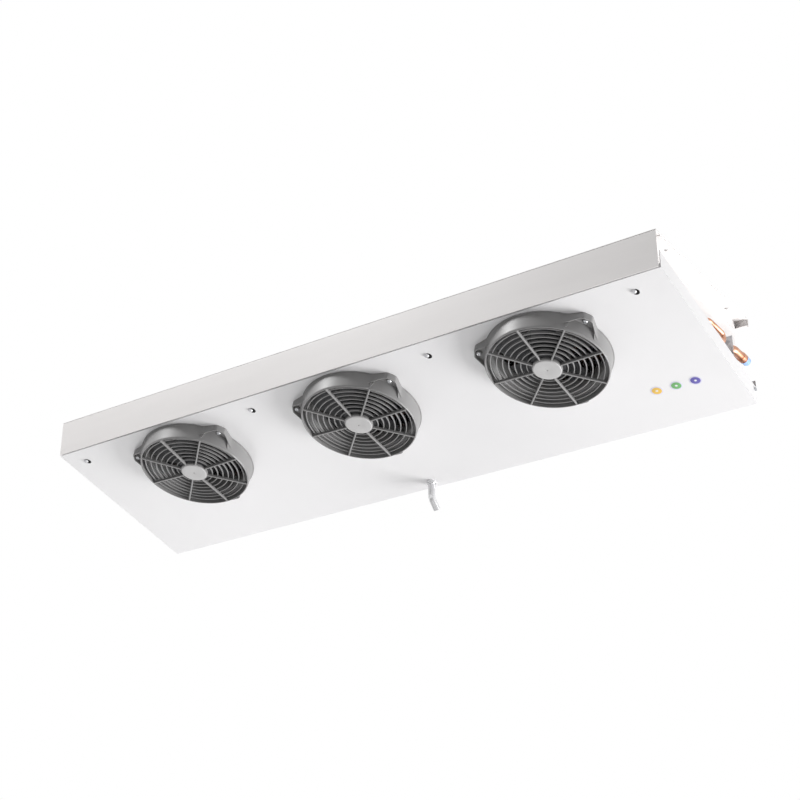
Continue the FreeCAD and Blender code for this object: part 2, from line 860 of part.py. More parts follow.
def fan_guard():
    """The whole guard, drawn about its own axis: z = 0 is the tray's lower face."""
    pieces = [guard_ring(), guard_hub()]
    for index in range(spoke_count):
        arm = spoke()
        arm.rotate(Vector(0, 0, 0), Z_AXIS, 360.0 * index / spoke_count)
        pieces.append(arm)
    pieces += [guard_loop(index) for index in range(ring_count)]
    pieces += [lug(angle) for angle in lug_angles]
    guard = joined(pieces)
    holes = [Part.makeCylinder(motor_stud_radius + motor_stud_fit, 20.0, Vector(0, 0, hub_face - 5.0))]
    for point in lug_points():
        below = point - Vector(0, 0, 2 * guard_height)
        holes.append(Part.makeCylinder(guard_screw_radius + guard_screw_fit, 3 * guard_height, below))
    return guard.cut(holes)


def hub_disc():
    """The plain round disc that covers the nut of the motor's stud."""
    low = hub_face - hub_disc_thickness
    return turned(outline_edges([
        (0.0, hub_face),
        (hub_disc_radius, hub_face),
        (hub_disc_radius - hub_disc_thickness, low),
        (0.0, low),
    ]))


def guard_screws():
    """Flat-headed screws on the pockets' floors, reaching up through the tray."""
    head_low = Vector(0, 0, -guard_screw_head_height)
    screw = joined([
        Part.makeCylinder(guard_screw_head_radius, guard_screw_head_height, head_low),
        Part.makeCylinder(guard_screw_radius, guard_screw_length),
    ])
    screws = []
    for point in lug_points():
        placed = screw.copy()
        placed.translate(point - Vector(0, 0, lug_floor))
        screws.append(placed)
    return screws


def motor_body():
    """A sealed motor that stands on the guard's hub, with a stud below and a bore for its shaft."""
    can = Part.makeCylinder(motor_radius, motor_length, Vector(0, 0, motor_seat))
    stud_end = hub_face + 0.2
    stud = Part.makeCylinder(motor_stud_radius, motor_seat - stud_end, Vector(0, 0, stud_end))
    bore_depth = motor_length - shaft_seat
    bore = Part.makeCylinder(
        shaft_radius + shaft_running_gap, bore_depth, Vector(0, 0, motor_seat + shaft_seat)
    )
    return joined([can, stud]).cut(bore)


def motor_nut():
    """The nut on the motor's stud, in the recess of the guard's hub."""
    nut = hexagon(motor_nut_across, hub_face, hub_face + hub_recess_depth)
    bore = Part.makeCylinder(motor_stud_radius + motor_stud_fit, 10.0, Vector(0, 0, hub_face - 1.0))
    return nut.cut(bore)


def motor_shaft():
    return Part.makeCylinder(shaft_radius, shaft_length, Vector(0, 0, motor_seat + shaft_seat))


def blade(index):
    """A cambered sheet blade: an arc-shaped strip run out from the hub, pitched and leant back."""
    half = blade_chord / 2.0
    inner = [Vector(0, -half, 0), Vector(0, 0, blade_camber), Vector(0, half, 0)]
    outer = [point + Vector(0, 0, blade_thickness) for point in inner]
    section = Part.Face(Part.Wire(Part.__sortEdges__([
        Part.Arc(inner[0], inner[1], inner[2]).toShape(),
        Part.LineSegment(inner[2], outer[2]).toShape(),
        Part.Arc(outer[2], outer[1], outer[0]).toShape(),
        Part.LineSegment(outer[0], inner[0]).toShape(),
    ])))
    strip = section.extrude(Vector(impeller_radius + half, 0, 0))
    strip.rotate(Vector(0, 0, 0), X_AXIS, blade_pitch_degrees)
    strip.translate(Vector(0, 0, hub_base() + impeller_hub_height * 0.4))
    root = Vector(impeller_hub_radius, 0, 0)
    strip.rotate(root, Z_AXIS, blade_lean_degrees)
    strip.rotate(Vector(0, 0, 0), Z_AXIS, 360.0 * index / blade_count)
    return strip


def hub_base():
    """Lift of the impeller hub's lower face, just clear of the motor."""
    return motor_top + impeller_hub_gap


def impeller():
    """Solid hub with five swept blades, trimmed to a round tip."""
    hub = Part.makeCylinder(impeller_hub_radius, impeller_hub_height, Vector(0, 0, hub_base()))
    room = Part.makeCylinder(impeller_radius, 120.0, Vector(0, 0, -60.0))
    core = Part.makeCylinder(impeller_hub_radius - 1.0, 120.0, Vector(0, 0, -60.0))
    blades = [blade(index).common(room).cut(core) for index in range(blade_count)]
    body = joined([hub] + blades)
    return body.cut(Part.makeCylinder(shaft_radius, 80.0, Vector(0, 0, -30.0)))


# ------------------------------------------------------------------ coil
def tube_place(row, level):
    """Centre of one coil tube: rows count towards the outlet, levels count down."""
    y = coil_back + coil_row_pitch * (row + 0.5)
    stagger = coil_tube_pitch / 4.0
    z = coil_top - coil_tube_pitch * (level + 0.5) + (stagger if row % 2 == 0 else -stagger)
    return y, z


def circuits():
    """The two refrigerant paths: each is a list of tubes, entered and left on the right."""
    upper = [(2, 1), (2, 0), (1, 0), (0, 0), (0, 1), (1, 1)]
    lower = [(2, 2), (2, 3), (1, 3), (0, 3), (0, 2), (1, 2)]
    return [upper, lower]


def coil_circuit(path):
    """One long tube that runs to and fro through the fins, from its inlet to its outlet."""
    end = sheet_face + tube_sheet + tube_stickout
    bend = coil_tube_pitch / 2.0
    points = [Vector(end, *tube_place(*path[0]))]
    side = -1.0
    for first, second in zip(path, path[1:]):
        points.append(Vector(side * (end + bend), *tube_place(*first)))
        points.append(Vector(side * (end + bend), *tube_place(*second)))
        side = -side
    points.append(Vector(end, *tube_place(*path[-1])))
    return bent_rod(points, bend * 0.999, coil_tube_radius, coil_bend_steps)


def coil_tubes():
    return group([coil_circuit(path) for path in circuits()])


def fin_pack():
    count = int(round(fin_block_length / fin_spacing)) - 1
    fins = []
    for index in range(count):
        x = -sheet_face + fin_spacing * (index + 1)
        half = fin_thickness / 2.0
        fins.append(box(x - half, x + half, coil_back, coil_front, coil_bottom, coil_top))
    return group(fins)


def tube_sheet_right():
    """Upright sheet at the coil's end: it carries the tubes and closes the plenum."""
    lift = tray_sheet + foot_gap + foot_sheet + tray_clearance
    outline = upright_outline(inner_front_y, end_front_bottom, lift)
    plate = side_plate(outline, sheet_face, sheet_face + tube_sheet)
    flange = box(
        sheet_face,
        sheet_face + tube_sheet_flange,
        back_y + back_lip + 1.0,
        inner_front_y - end_sheet - 0.5,
        -casing_sheet - tube_sheet,
        -casing_sheet,
    )
    return joined([plate, flange])


def coil_baffle():
    """An angle under the coil that keeps the air from slipping past below the fins."""
    y = coil_front - baffle_setback
    low = tray_z(y, tray_sheet + baffle_slope_gap)
    outline = [(y, low), (y, coil_bottom), (y - baffle_foot, coil_bottom)]
    return folded_sheet(outline, casing_sheet, -sheet_face, sheet_face)


# ------------------------------------------------------------------ refrigerant pipes
header_x = sheet_face + header_x_gap
distributor_x = sheet_face + distributor_x_gap


def tube_end_x():
    return sheet_face + tube_sheet + tube_stickout


def suction_header():
    """A short stand of tube across the two coil outlets."""
    outlets = [tube_place(*path[-1]) for path in circuits()]
    y, high = outlets[0]
    low = outlets[1][1]
    stand = Part.makeCylinder(
        header_radius, high - low + 2 * header_radius, Vector(header_x, y, low - header_radius)
    )
    stubs = [along_x(coil_tube_radius, tube_end_x(), header_x, y, z) for y, z in outlets]
    return joined([stand] + stubs)


def suction_pipe():
    """From the header out through the end plate, then forward to its widened open end."""
    points = [
        Vector(header_x, suction_exit_y, suction_level),
        Vector(recess_x, suction_exit_y, suction_level),
        Vector(recess_x, suction_end, suction_level),
    ]
    pipe = bent_rod(points, suction_elbow, suction_radius)
    socket_start = Vector(recess_x, suction_end - suction_socket_length, suction_level)
    socket = rod(suction_socket_radius, socket_start, points[-1])
    return joined([pipe, socket]).cut(suction_header())


def suction_cap():
    """A plastic plug pushed on the socket's end."""
    face = Vector(recess_x, suction_end, suction_level)
    return rod(suction_cap_radius, face, face + Vector(0, suction_cap_length, 0))


def pipe_bracket():
    """An upright angle on the end plate beside the suction pipe."""
    x0 = end_face
    x1 = end_face + bracket_reach
    web = box(x0, x1, bracket_y, bracket_y + bracket_sheet, bracket_bottom, bracket_top)
    foot = box(x0, x0 + bracket_sheet, bracket_y - bracket_foot, bracket_y, bracket_bottom, bracket_top)
    return joined([web, foot])


def liquid_line():
    """Out of the distributor, through the end plate, forward, then back under itself."""
    low = liquid_level - 2.0 * liquid_hairpin_radius
    turn_y = liquid_hairpin_y + liquid_hairpin_radius
    points = [
        Vector(distributor_x, distributor_y, liquid_level),
        Vector(distributor_x, liquid_exit_y, liquid_level),
        Vector(recess_x, liquid_exit_y, liquid_level),
        Vector(recess_x, turn_y, liquid_level),
        Vector(recess_x, turn_y, low),
        Vector(recess_x, liquid_end_y, low),
    ]
    tight = liquid_hairpin_radius * 0.999
    return bent_rod(points, [liquid_elbow, liquid_elbow, tight, tight], liquid_radius)


def liquid_cap():
    low = liquid_level - 2.0 * liquid_hairpin_radius
    face = Vector(recess_x, liquid_end_y, low)
    return rod(liquid_cap_radius, face, face - Vector(0, liquid_cap_length, 0))


def distributor():
    """Brass body with a neck for the liquid line and a wider head where the feeders leave."""
    start = Vector(distributor_x, distributor_y, liquid_level)
    half = distributor_length / 2.0
    neck = Part.makeCylinder(distributor_radius, half, start, Y_AXIS)
    head = Part.makeCylinder(distributor_head_radius, half, start + Vector(0, half, 0), Y_AXIS)
    return joined([neck, head])


def feeder(index):
    """A thin tube from the distributor's face to one circuit's inlet."""
    y, z = tube_place(*circuits()[index][0])
    face_y = distributor_y + distributor_length
    level = liquid_level + feeder_rise if index == 0 else z
    points = [Vector(distributor_x, face_y, level), Vector(distributor_x, y, level)]
    if index == 0:
        points.append(Vector(distributor_x, y, z))
    points.append(Vector(tube_end_x(), y, z))
    return bent_rod(points, feeder_bend, feeder_radius)


# ------------------------------------------------------------------ wiring
def terminal_box():
    x1 = -sheet_face - tube_sheet
    x0 = x1 - box_depth
    wall = 2.0
    outer = box(x0, x1, box_y, box_y + box_length, box_top - box_height, box_top)
    inner = box(
        x0 - 1.0,
        x1 - wall,
        box_y + wall,
        box_y + box_length - wall,
        box_top - box_height + wall,
        box_top - wall,
    )
    return outer.cut(inner)


def terminal_box_lid():
    x1 = -sheet_face - tube_sheet - box_depth
    return box(x1 - box_lid, x1, box_y, box_y + box_length, box_top - box_height, box_top)


def cable_gland():
    """Gland in the left-hand end plate: round body through the plate and a hexagon outside."""
    body = Part.makeCylinder(gland_radius, gland_tail + end_sheet, Vector(0, 0, 0))
    bore = Part.makeCylinder(gland_bore_radius, 60.0, Vector(0, 0, -30.0))
    gland = joined([body, hexagon(gland_hex_across, -gland_hex_height, 0.0)]).cut(bore)
    gland.Placement = Placement(Vector(-end_face, gland_y, gland_level), Rotation(Y_AXIS, 90))
    return gland


# ------------------------------------------------------------------ all nodes
def build_casing():
    parts["back_panel"] = back_panel()
    parts["top_panel"] = top_panel()
    parts["end_plate_right"] = end_plate_right()
    parts["end_plate_left"] = end_plate_left()
    parts["hanger_angle_right"] = hanger_angle()
    parts["hanger_angle_left"] = mirrored(hanger_angle())
    parts["fan_divider_1"] = moved_x(divider(), tray_screw_places[1])
    parts["fan_divider_2"] = moved_x(divider(), tray_screw_places[2])
    parts["tray_bracket_left"] = tray_bracket(tray_screw_places[0], -1)
    parts["tray_bracket_right"] = tray_bracket(tray_screw_places[3], 1)
    parts["clip_nuts"] = group([place_on_tray(clip_nut(), x, tray_screw_slope) for x in tray_screw_places])
    parts["hinge_arm_right"] = hinge_arm()
    parts["hinge_arm_left"] = mirrored(hinge_arm())
    parts["hinge_pins"] = group([hinge_pin(), mirrored(hinge_pin())])
    parts["terminal_box"] = terminal_box()
    parts["terminal_box_lid"] = terminal_box_lid()
    parts["cable_gland"] = cable_gland()


def build_coil():
    parts["fin_pack"] = fin_pack()
    parts["coil_tubes"] = coil_tubes()
    parts["tube_sheet_right"] = tube_sheet_right()
    parts["tube_sheet_left"] = mirrored(tube_sheet_right())
    parts["coil_baffle"] = coil_baffle()
    parts["suction_header"] = suction_header()
    parts["suction_pipe"] = suction_pipe()
    parts["suction_cap"] = suction_cap()
    parts["pipe_bracket"] = pipe_bracket()
    parts["liquid_line"] = liquid_line()
    parts["liquid_cap"] = liquid_cap()
    parts["distributor"] = distributor()
    parts["feeder_tube_upper"] = feeder(0)
    parts["feeder_tube_lower"] = feeder(1)


def build_tray():
    parts["tray_panel"] = tray_panel()
    parts["tray_screws"] = group(tray_screws())
    parts["drain_spout"] = drain_spout()
    parts["drain_nut"] = drain_nut()


def build_fans():
    guard = fan_guard()
    wheel = impeller()
    parts["fan_guards"] = on_each_fan([guard])
    parts["guard_screws"] = on_each_fan(guard_screws())
    parts["hub_discs"] = on_each_fan([hub_disc()])
    parts["fan_motors"] = on_each_fan([motor_body()])
    parts["motor_nuts"] = on_each_fan([motor_nut()])
    for index, x in enumerate(fan_places):
        number = index + 1
        parts["motor_shaft_%d" % number] = place_on_tray(motor_shaft(), x, fan_slope)
        parts["impeller_%d" % number] = place_on_tray(wheel, x, fan_slope)


def on_each_fan(shapes):
    """Copies of the shapes at all the fans, as separate solids."""
    return group([place_on_tray(shape, x, fan_slope) for x in fan_places for shape in shapes])


os.makedirs("parts", exist_ok=True)
build_casing()
build_coil()
build_tray()
build_fans()
for name, shape in parts.items():
    shape.exportStep("parts/" + name + ".step")
    print(name, len(shape.Solids), "solids, valid" if shape.isValid() else "solids, NOT valid")
print(len(parts), "nodes")
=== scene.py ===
# %% [markdown]
# # Dressing a ceiling unit cooler
#
# The solids of the cooler are already drawn and packed. This file loads them as a fixed frame,
# then gives each visible piece the roundness and the finish that the real one has. The pieces'
# places are worked out from the frame, so a piece lands where its solid is.

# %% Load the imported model
import json
import math

import bpy
import numpy as np
from mathutils import Matrix, Vector

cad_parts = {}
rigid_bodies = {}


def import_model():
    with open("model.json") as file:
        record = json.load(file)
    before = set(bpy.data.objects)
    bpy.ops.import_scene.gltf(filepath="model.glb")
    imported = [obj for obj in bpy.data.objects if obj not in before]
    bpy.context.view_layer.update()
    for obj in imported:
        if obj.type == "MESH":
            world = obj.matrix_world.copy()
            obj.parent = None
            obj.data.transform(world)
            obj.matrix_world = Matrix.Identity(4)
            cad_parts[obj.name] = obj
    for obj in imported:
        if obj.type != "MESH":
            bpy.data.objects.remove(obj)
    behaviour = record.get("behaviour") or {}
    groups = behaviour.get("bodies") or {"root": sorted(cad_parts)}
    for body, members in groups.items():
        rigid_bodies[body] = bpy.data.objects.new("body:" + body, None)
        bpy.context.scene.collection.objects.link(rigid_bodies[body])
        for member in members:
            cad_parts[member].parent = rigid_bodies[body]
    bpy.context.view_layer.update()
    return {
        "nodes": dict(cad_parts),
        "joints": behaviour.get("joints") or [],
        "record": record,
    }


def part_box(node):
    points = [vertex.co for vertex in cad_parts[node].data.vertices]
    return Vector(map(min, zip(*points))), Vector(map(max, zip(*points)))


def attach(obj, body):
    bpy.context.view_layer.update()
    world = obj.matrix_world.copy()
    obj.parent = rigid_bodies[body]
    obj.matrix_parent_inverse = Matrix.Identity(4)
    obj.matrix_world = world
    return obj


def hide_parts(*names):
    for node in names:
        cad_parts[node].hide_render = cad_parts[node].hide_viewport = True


for leftover in list(bpy.data.objects):
    bpy.data.objects.remove(leftover)
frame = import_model()
nodes = frame["nodes"]
joints = {joint["name"]: joint for joint in frame["joints"]}
print("CAD nodes:", len(nodes), "joints:", sorted(joints))

# %% [markdown]
# ## Where things are
#
# The tray hangs at a slope, and everything on it is easiest to draw as if it lay flat. So the
# first helper turns a flat drawing onto the tray: x along the cooler, y down the slope and z
# into the casing. The slope comes from the axis of a fan's joint, and the height of the tray's
# outer face is the lowest place of the tray panel's own points along that axis.


# %% The tray's own directions
MM = 0.001


def joint_place(name):
    """The joint's position and unit axis as two arrays."""
    joint = joints[name]
    axis = np.array(joint["axis"], float)
    return np.array(joint["pos_m"], float), axis / np.linalg.norm(axis)


def node_points(name):
    """All the points of a CAD node, as an array of rows."""
    mesh = nodes[name].data
    points = np.empty(len(mesh.vertices) * 3)
    mesh.vertices.foreach_get("co", points)
    return points.reshape(-1, 3)


def box_mm(name):
    """The lowest and highest corners of a CAD node, in millimetres."""
    low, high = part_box(name)
    return np.array(low) / MM, np.array(high) / MM


fan_names = sorted(name for name in joints if name.startswith("fan_"))
LIFT = joint_place(fan_names[0])[1]
ALONG = np.array([1.0, 0.0, 0.0])
SLOPE = np.cross(LIFT, ALONG)
tray_face = (node_points("tray_panel") @ LIFT).min()
fan_centres = []
for name in fan_names:
    place = joint_place(name)[0]
    fan_centres.append(place + LIFT * (tray_face - place @ LIFT))
print("slope", np.degrees(np.arcsin(-SLOPE[2])))
print("fans", [centre.round(4).tolist() for centre in fan_centres])


# %% Turn a flat drawing onto the tray
def on_tray(points, centre):
    """Place = centre + x along the cooler + y down the slope + z into the casing.

    The points are in millimetres and the centre in metres.
    """
    x, y, z = points[..., :1], points[..., 1:2], points[..., 2:]
    return centre + (x * ALONG + y * SLOPE + z * LIFT) * MM


# %% [markdown]
# ## From a grid of points to a closed skin
#
# Nearly every piece here is one grid of points: rows run along the piece and columns run round
# it. The columns always close round. The rows either close too, as on a ring, or end in a fan of
# triangles about one point. Subdivision surfaces would also give round shapes, but a grid worked
# out with numpy keeps exact radii, and one helper then serves all the pieces.


# %% Grid to skin
def skin(grid, ring=False):
    """Points, quads and triangles of a grid whose columns close round.

    ring joins the last row to the first; otherwise each end is closed by a fan about its middle.
    """
    rows, columns = grid.shape[:2]
    index = np.arange(rows * columns).reshape(rows, columns)
    beside = np.roll(index, -1, axis=1)
    last = rows if ring else rows - 1
    below = np.roll(index, -1, axis=0)[:last]
    below_beside = np.roll(beside, -1, axis=0)[:last]
    quads = np.stack([index[:last], beside[:last], below_beside, below], -1).reshape(-1, 4)
    points = grid.reshape(-1, 3)
    triangles = np.empty((0, 3), int)
    if not ring:
        ends = np.array([grid[0].mean(0), grid[-1].mean(0)])
        start = np.full(columns, len(points))
        points = np.vstack([points, ends])
        first = np.stack([beside[0], index[0], start], -1)
        final = np.stack([index[-1], beside[-1], start + 1], -1)
        triangles = np.vstack([first, final])
    return outward(points, quads, triangles)


def outward(points, quads, triangles):
    """Turns all faces over when the skin's volume, summed over its faces, comes out negative."""
    halves = np.vstack([quads[:, :3], quads[:, [0, 2, 3]], triangles])
    a, b, c = (points[halves[:, k]] - points.mean(0) for k in range(3))
    if np.einsum("ij,ij->i", a, np.cross(b, c)).sum() < 0:
        return points, quads[:, ::-1], triangles[:, ::-1]
    return points, quads, triangles


# %% Skins to one object
finishes = {}


def piece(name, skins, body, finish, stands_for=(), crease=32.0):
    """Joins closed skins into one smooth-shaded object that rides on a body.

    Edges that turn by more than crease degrees stay sharp, and stands_for names the CAD nodes that
    the piece replaces.
    """
    first = np.cumsum([0] + [len(part[0]) for part in skins])
    points = np.vstack([part[0] for part in skins])
    quads = np.vstack([part[1] + start for part, start in zip(skins, first)])
    triangles = np.vstack([part[2] + start for part, start in zip(skins, first)])
    mesh = bpy.data.meshes.new(name)
    mesh.vertices.add(len(points))
    mesh.vertices.foreach_set("co", points.ravel().astype(np.float32))
    corners = np.concatenate([quads.ravel(), triangles.ravel()]).astype(np.int32)
    totals = np.repeat([4, 3], [len(quads), len(triangles)]).astype(np.int32)
    mesh.loops.add(len(corners))
    mesh.loops.foreach_set("vertex_index", corners)
    mesh.polygons.add(len(totals))
    mesh.polygons.foreach_set("loop_start", (np.cumsum(totals) - totals).astype(np.int32))
    mesh.polygons.foreach_set("use_smooth", np.ones(len(totals), bool))
    mesh.update(calc_edges=True)
    mesh.validate()
    mesh.set_sharp_from_angle(angle=math.radians(crease))
    thing = bpy.data.objects.new(name, mesh)
    bpy.context.scene.collection.objects.link(thing)
    mesh.materials.append(finishes[finish])
    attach(thing, body)
    if stands_for:
        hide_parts(*stands_for)
    print(name, "triangles:", 2 * len(quads) + len(triangles), "skins:", len(skins))


# %% [markdown]
# ## Rounding corners
#
# Real mouldings and bent tubes have round corners, and the round edge is what catches a line of
# light. One helper rounds the corners of any line, flat or in space. It puts an exact arc in each
# corner with a curve of three control points whose middle weight is the cosine of half the turn.


# %% Arcs in the corners of a line
def unit(vectors):
    """Each vector at length one."""
    return vectors / np.maximum(np.linalg.norm(vectors, axis=-1, keepdims=True), 1e-12)


def rounded(points, radii, steps=6, closed=False):
    """Each inner corner becomes an arc of its radius that touches both of its sides.

    With P the corner and A, B the touching points, a point of the arc is
    ((1-t)^2 A + 2 w t (1-t) P + t^2 B) / ((1-t)^2 + 2 w t (1-t) + t^2), w = cos(turn / 2).
    """
    points = np.asarray(points, float)
    corner = points if closed else points[1:-1]
    back = unit((np.roll(points, 1, 0) if closed else points[:-2])[: len(corner)] - corner)
    ahead = unit((np.roll(points, -1, 0) if closed else points[2:])[: len(corner)] - corner)
    turn = np.pi - np.arccos(np.clip((back * ahead).sum(-1), -1.0, 1.0))
    cut = (np.broadcast_to(radii, len(corner)) * np.tan(turn / 2.0))[:, None, None]
    weight = np.cos(turn / 2.0)[:, None, None]
    t = np.linspace(0.0, 1.0, steps)[None, :, None]
    p = corner[:, None]
    a = p + back[:, None] * cut
    b = p + ahead[:, None] * cut
    middle = 2.0 * weight * t * (1.0 - t)
    arcs = ((1 - t) ** 2 * a + middle * p + t ** 2 * b) / ((1 - t) ** 2 + middle + t ** 2)
    line = arcs.reshape(-1, points.shape[1])
    return line if closed else np.vstack([points[:1], line, points[-1:]])


# %% Turned and swept shapes
SLANT = np.array([0.53, -0.61, 0.59])


def turned(outline, segments=96):
    """A (radius, height) outline carried round z: x = r cos a, y = r sin a, z = h.

    Points on the axis are left out, because the skin closes each end with a fan about its middle.
    """
    outline = np.asarray(outline, float)
    outline = outline[outline[:, 0] > 1e-6]
    angle = np.linspace(0.0, 2.0 * np.pi, segments, endpoint=False)
    radius = outline[:, :1]
    height = np.broadcast_to(outline[:, 1:], (len(outline), segments))
    return np.stack([radius * np.cos(angle), radius * np.sin(angle), height], -1)


def pipe(points, bends, radius, segments=28, steps=9, lip=0.12):
    """A round tube along a line with rounded corners, its ends eased by a small lip.

    Two directions square to the line's own direction T are the cross product of T with a fixed
    slanting direction, and T crossed with that; a ring is radius * (cos a, sin a) along the two.
    """
    line = rounded(points, bends, steps)
    line = line[np.r_[True, np.linalg.norm(np.diff(line, axis=0), axis=1) > 1e-6]]
    first = unit(line[1] - line[0]) * lip * radius
    last = unit(line[-1] - line[-2]) * lip * radius
    line = np.vstack([line[:1], line[:1] + first, line[1:-1], line[-1:] - last, line[-1:]])
    along = unit(np.gradient(line, axis=0))
    side = unit(np.cross(along, SLANT))
    other = np.cross(along, side)
    size = np.full(len(line), radius)
    size[[0, -1]] = radius * (1.0 - lip)
    angle = np.linspace(0.0, 2.0 * np.pi, segments, endpoint=False)[None, :, None]
    ring = np.cos(angle) * side[:, None] + np.sin(angle) * other[:, None]
    return line[:, None] + size[:, None, None] * ring


def spun(grid, degrees):
    """The grid turned about z."""
    c, s = math.cos(math.radians(degrees)), math.sin(math.radians(degrees))
    return grid @ np.array([[c, s, 0.0], [-s, c, 0.0], [0.0, 0.0, 1.0]])


# %% [markdown]
# ## Finishes
#
# A finish is a Principled shader fed by two noises: a broad one that drifts the colour a little,
# and a fine one that changes the gloss and roughens the surface. Both noises read Object
# coordinates, so they keep their size in metres and stay with the piece. The noise is one node
# group, used by every finish with its own scale and stretch, instead of a copy in each.


# %% The grain group
def srgb(*values):
    """Screen values from 0 to 255 as a linear colour: ((v + 0.055) / 1.055) ^ 2.4."""
    v = np.array(values, float) / 255.0
    linear = np.where(v <= 0.04045, v / 12.92, ((v + 0.055) / 1.055) ** 2.4)
    return (*linear.tolist(), 1.0)


def socket(group, name, way, kind, value=None):
    """Adds one named input or output to a node group, with its usual value."""
    made = group.interface.new_socket(name=name, in_out=way, socket_type=kind)
    if value is not None:
        made.default_value = value


def grain_group():
    """Noise at Scale, squeezed along each axis by Stretch, then spread between Low and High."""
    group = bpy.data.node_groups.new("surface_grain", "ShaderNodeTree")
    socket(group, "Scale", "INPUT", "NodeSocketFloat", 40.0)
    socket(group, "Stretch", "INPUT", "NodeSocketVector", (1.0, 1.0, 1.0))
    socket(group, "Low", "INPUT", "NodeSocketFloat", 0.3)
    socket(group, "High", "INPUT", "NodeSocketFloat", 0.7)
    socket(group, "Value", "OUTPUT", "NodeSocketFloat")
    node, link = group.nodes, group.links
    inside = node.new("NodeGroupInput")
    outside = node.new("NodeGroupOutput")
    place = node.new("ShaderNodeTexCoord")
    squeeze = node.new("ShaderNodeVectorMath")
    squeeze.operation = "MULTIPLY"
    noise = node.new("ShaderNodeTexNoise")
    noise.inputs["Detail"].default_value = 4.0
    spread = node.new("ShaderNodeMapRange")
    link.new(place.outputs["Object"], squeeze.inputs[0])
    link.new(inside.outputs["Stretch"], squeeze.inputs[1])
    link.new(squeeze.outputs[0], noise.inputs["Vector"])
    link.new(inside.outputs["Scale"], noise.inputs["Scale"])
    link.new(noise.outputs["Fac"], spread.inputs["Value"])
    link.new(inside.outputs["Low"], spread.inputs["From Min"])
    link.new(inside.outputs["High"], spread.inputs["From Max"])
    link.new(spread.outputs["Result"], outside.inputs["Value"])
    return group


def spangle_group():
    """The leaf-like crystals of a zinc coat: each cell of a Voronoi pattern gets its own value."""
    group = bpy.data.node_groups.new("zinc_spangle", "ShaderNodeTree")
    socket(group, "Scale", "INPUT", "NodeSocketFloat", 90.0)
    socket(group, "Value", "OUTPUT", "NodeSocketFloat")
    node, link = group.nodes, group.links
    inside = node.new("NodeGroupInput")
    outside = node.new("NodeGroupOutput")
    place = node.new("ShaderNodeTexCoord")
    cells = node.new("ShaderNodeTexVoronoi")
    parts = node.new("ShaderNodeSeparateColor")
    link.new(place.outputs["Object"], cells.inputs["Vector"])
    link.new(inside.outputs["Scale"], cells.inputs["Scale"])
    link.new(cells.outputs["Color"], parts.inputs["Color"])
    link.new(parts.outputs[0], outside.inputs["Value"])
    return group


grain = grain_group()
spangle = spangle_group()
print("node groups:", grain.name, spangle.name)


# %% A finish from two colours and two grains
EVEN = (1, 1, 1)


def finish(
    name, light, dark, gloss, broad=3.0, fine=400.0, broad_stretch=EVEN, fine_stretch=EVEN,
    bump=0.05, depth=0.0002, metal=0.0, coat=0.0, specular=0.5, cells=None
):
    """Mixes two colours by the broad grain and sets gloss and relief by the fine one.

    gloss is the roughness at the fine grain's two ends, broad and fine are the grains' scales,
    and bump and depth are the relief's strength and its height in metres. Where cells is given,
    the colours follow zinc crystals of that scale instead of the broad grain.
    """
    material = bpy.data.materials.new(name)
    material.use_nodes = True
    node, link = material.node_tree.nodes, material.node_tree.links
    shader = node["Principled BSDF"]
    shader.inputs["Metallic"].default_value = metal
    shader.inputs["Coat Weight"].default_value = coat
    shader.inputs["Coat Roughness"].default_value = 0.12
    shader.inputs["Specular IOR Level"].default_value = specular
    slow = node.new("ShaderNodeGroup")
    slow.node_tree = spangle if cells else grain
    slow.inputs["Scale"].default_value = cells or broad
    if not cells:
        slow.inputs["Stretch"].default_value = broad_stretch
    quick = node.new("ShaderNodeGroup")
    quick.node_tree = grain
    quick.inputs["Scale"].default_value = fine
    quick.inputs["Stretch"].default_value = fine_stretch
    colour = node.new("ShaderNodeMix")
    colour.data_type = "RGBA"
    colour.inputs[6].default_value = dark
    colour.inputs[7].default_value = light
    link.new(slow.outputs["Value"], colour.inputs[0])
    link.new(colour.outputs[2], shader.inputs["Base Color"])
    shine = node.new("ShaderNodeMapRange")
    shine.inputs["To Min"].default_value = gloss[0]
    shine.inputs["To Max"].default_value = gloss[1]
    link.new(quick.outputs["Value"], shine.inputs["Value"])
    link.new(shine.outputs["Result"], shader.inputs["Roughness"])
    dents = node.new("ShaderNodeBump")
    dents.inputs["Strength"].default_value = bump
    dents.inputs["Distance"].default_value = depth
    link.new(quick.outputs["Value"], dents.inputs["Height"])
    link.new(dents.outputs["Normal"], shader.inputs["Normal"])
    finishes[name] = material
    print("finish", name)


# %% [markdown]
# ### Painted sheet
#
# The tray is white stove enamel: softly glossy, with the very faint waviness of sprayed paint.
# The folded panels behind it are a white coated sheet, rolled along its length, so its fine grain
# is stretched twenty-five times along the cooler.

# %% Enamel and coated sheet
finish("tray_sheet", srgb(240, 239, 240), srgb(235, 234, 235), (0.30, 0.38),
       broad=2.5, fine=260.0, bump=0.05, depth=0.0001, coat=0.15)
finish("casing_sheet", srgb(243, 240, 239), srgb(235, 232, 231), (0.34, 0.48),
       broad=5.0, broad_stretch=(0.35, 1, 2.5), fine=700.0, fine_stretch=(0.04, 1, 1),
       bump=0.08, depth=0.0001, specular=0.6)

# %% [markdown]
# ### Bare metals
#
# Zinc-coated steel shows pale and dark crystal leaves. Fins are bright rolled aluminium. Copper
# tube goes brown in patches where it has been heated, and the brass body is turned. For a metal
# the base colour is the colour of its reflection, so all of these are written fairly bright.

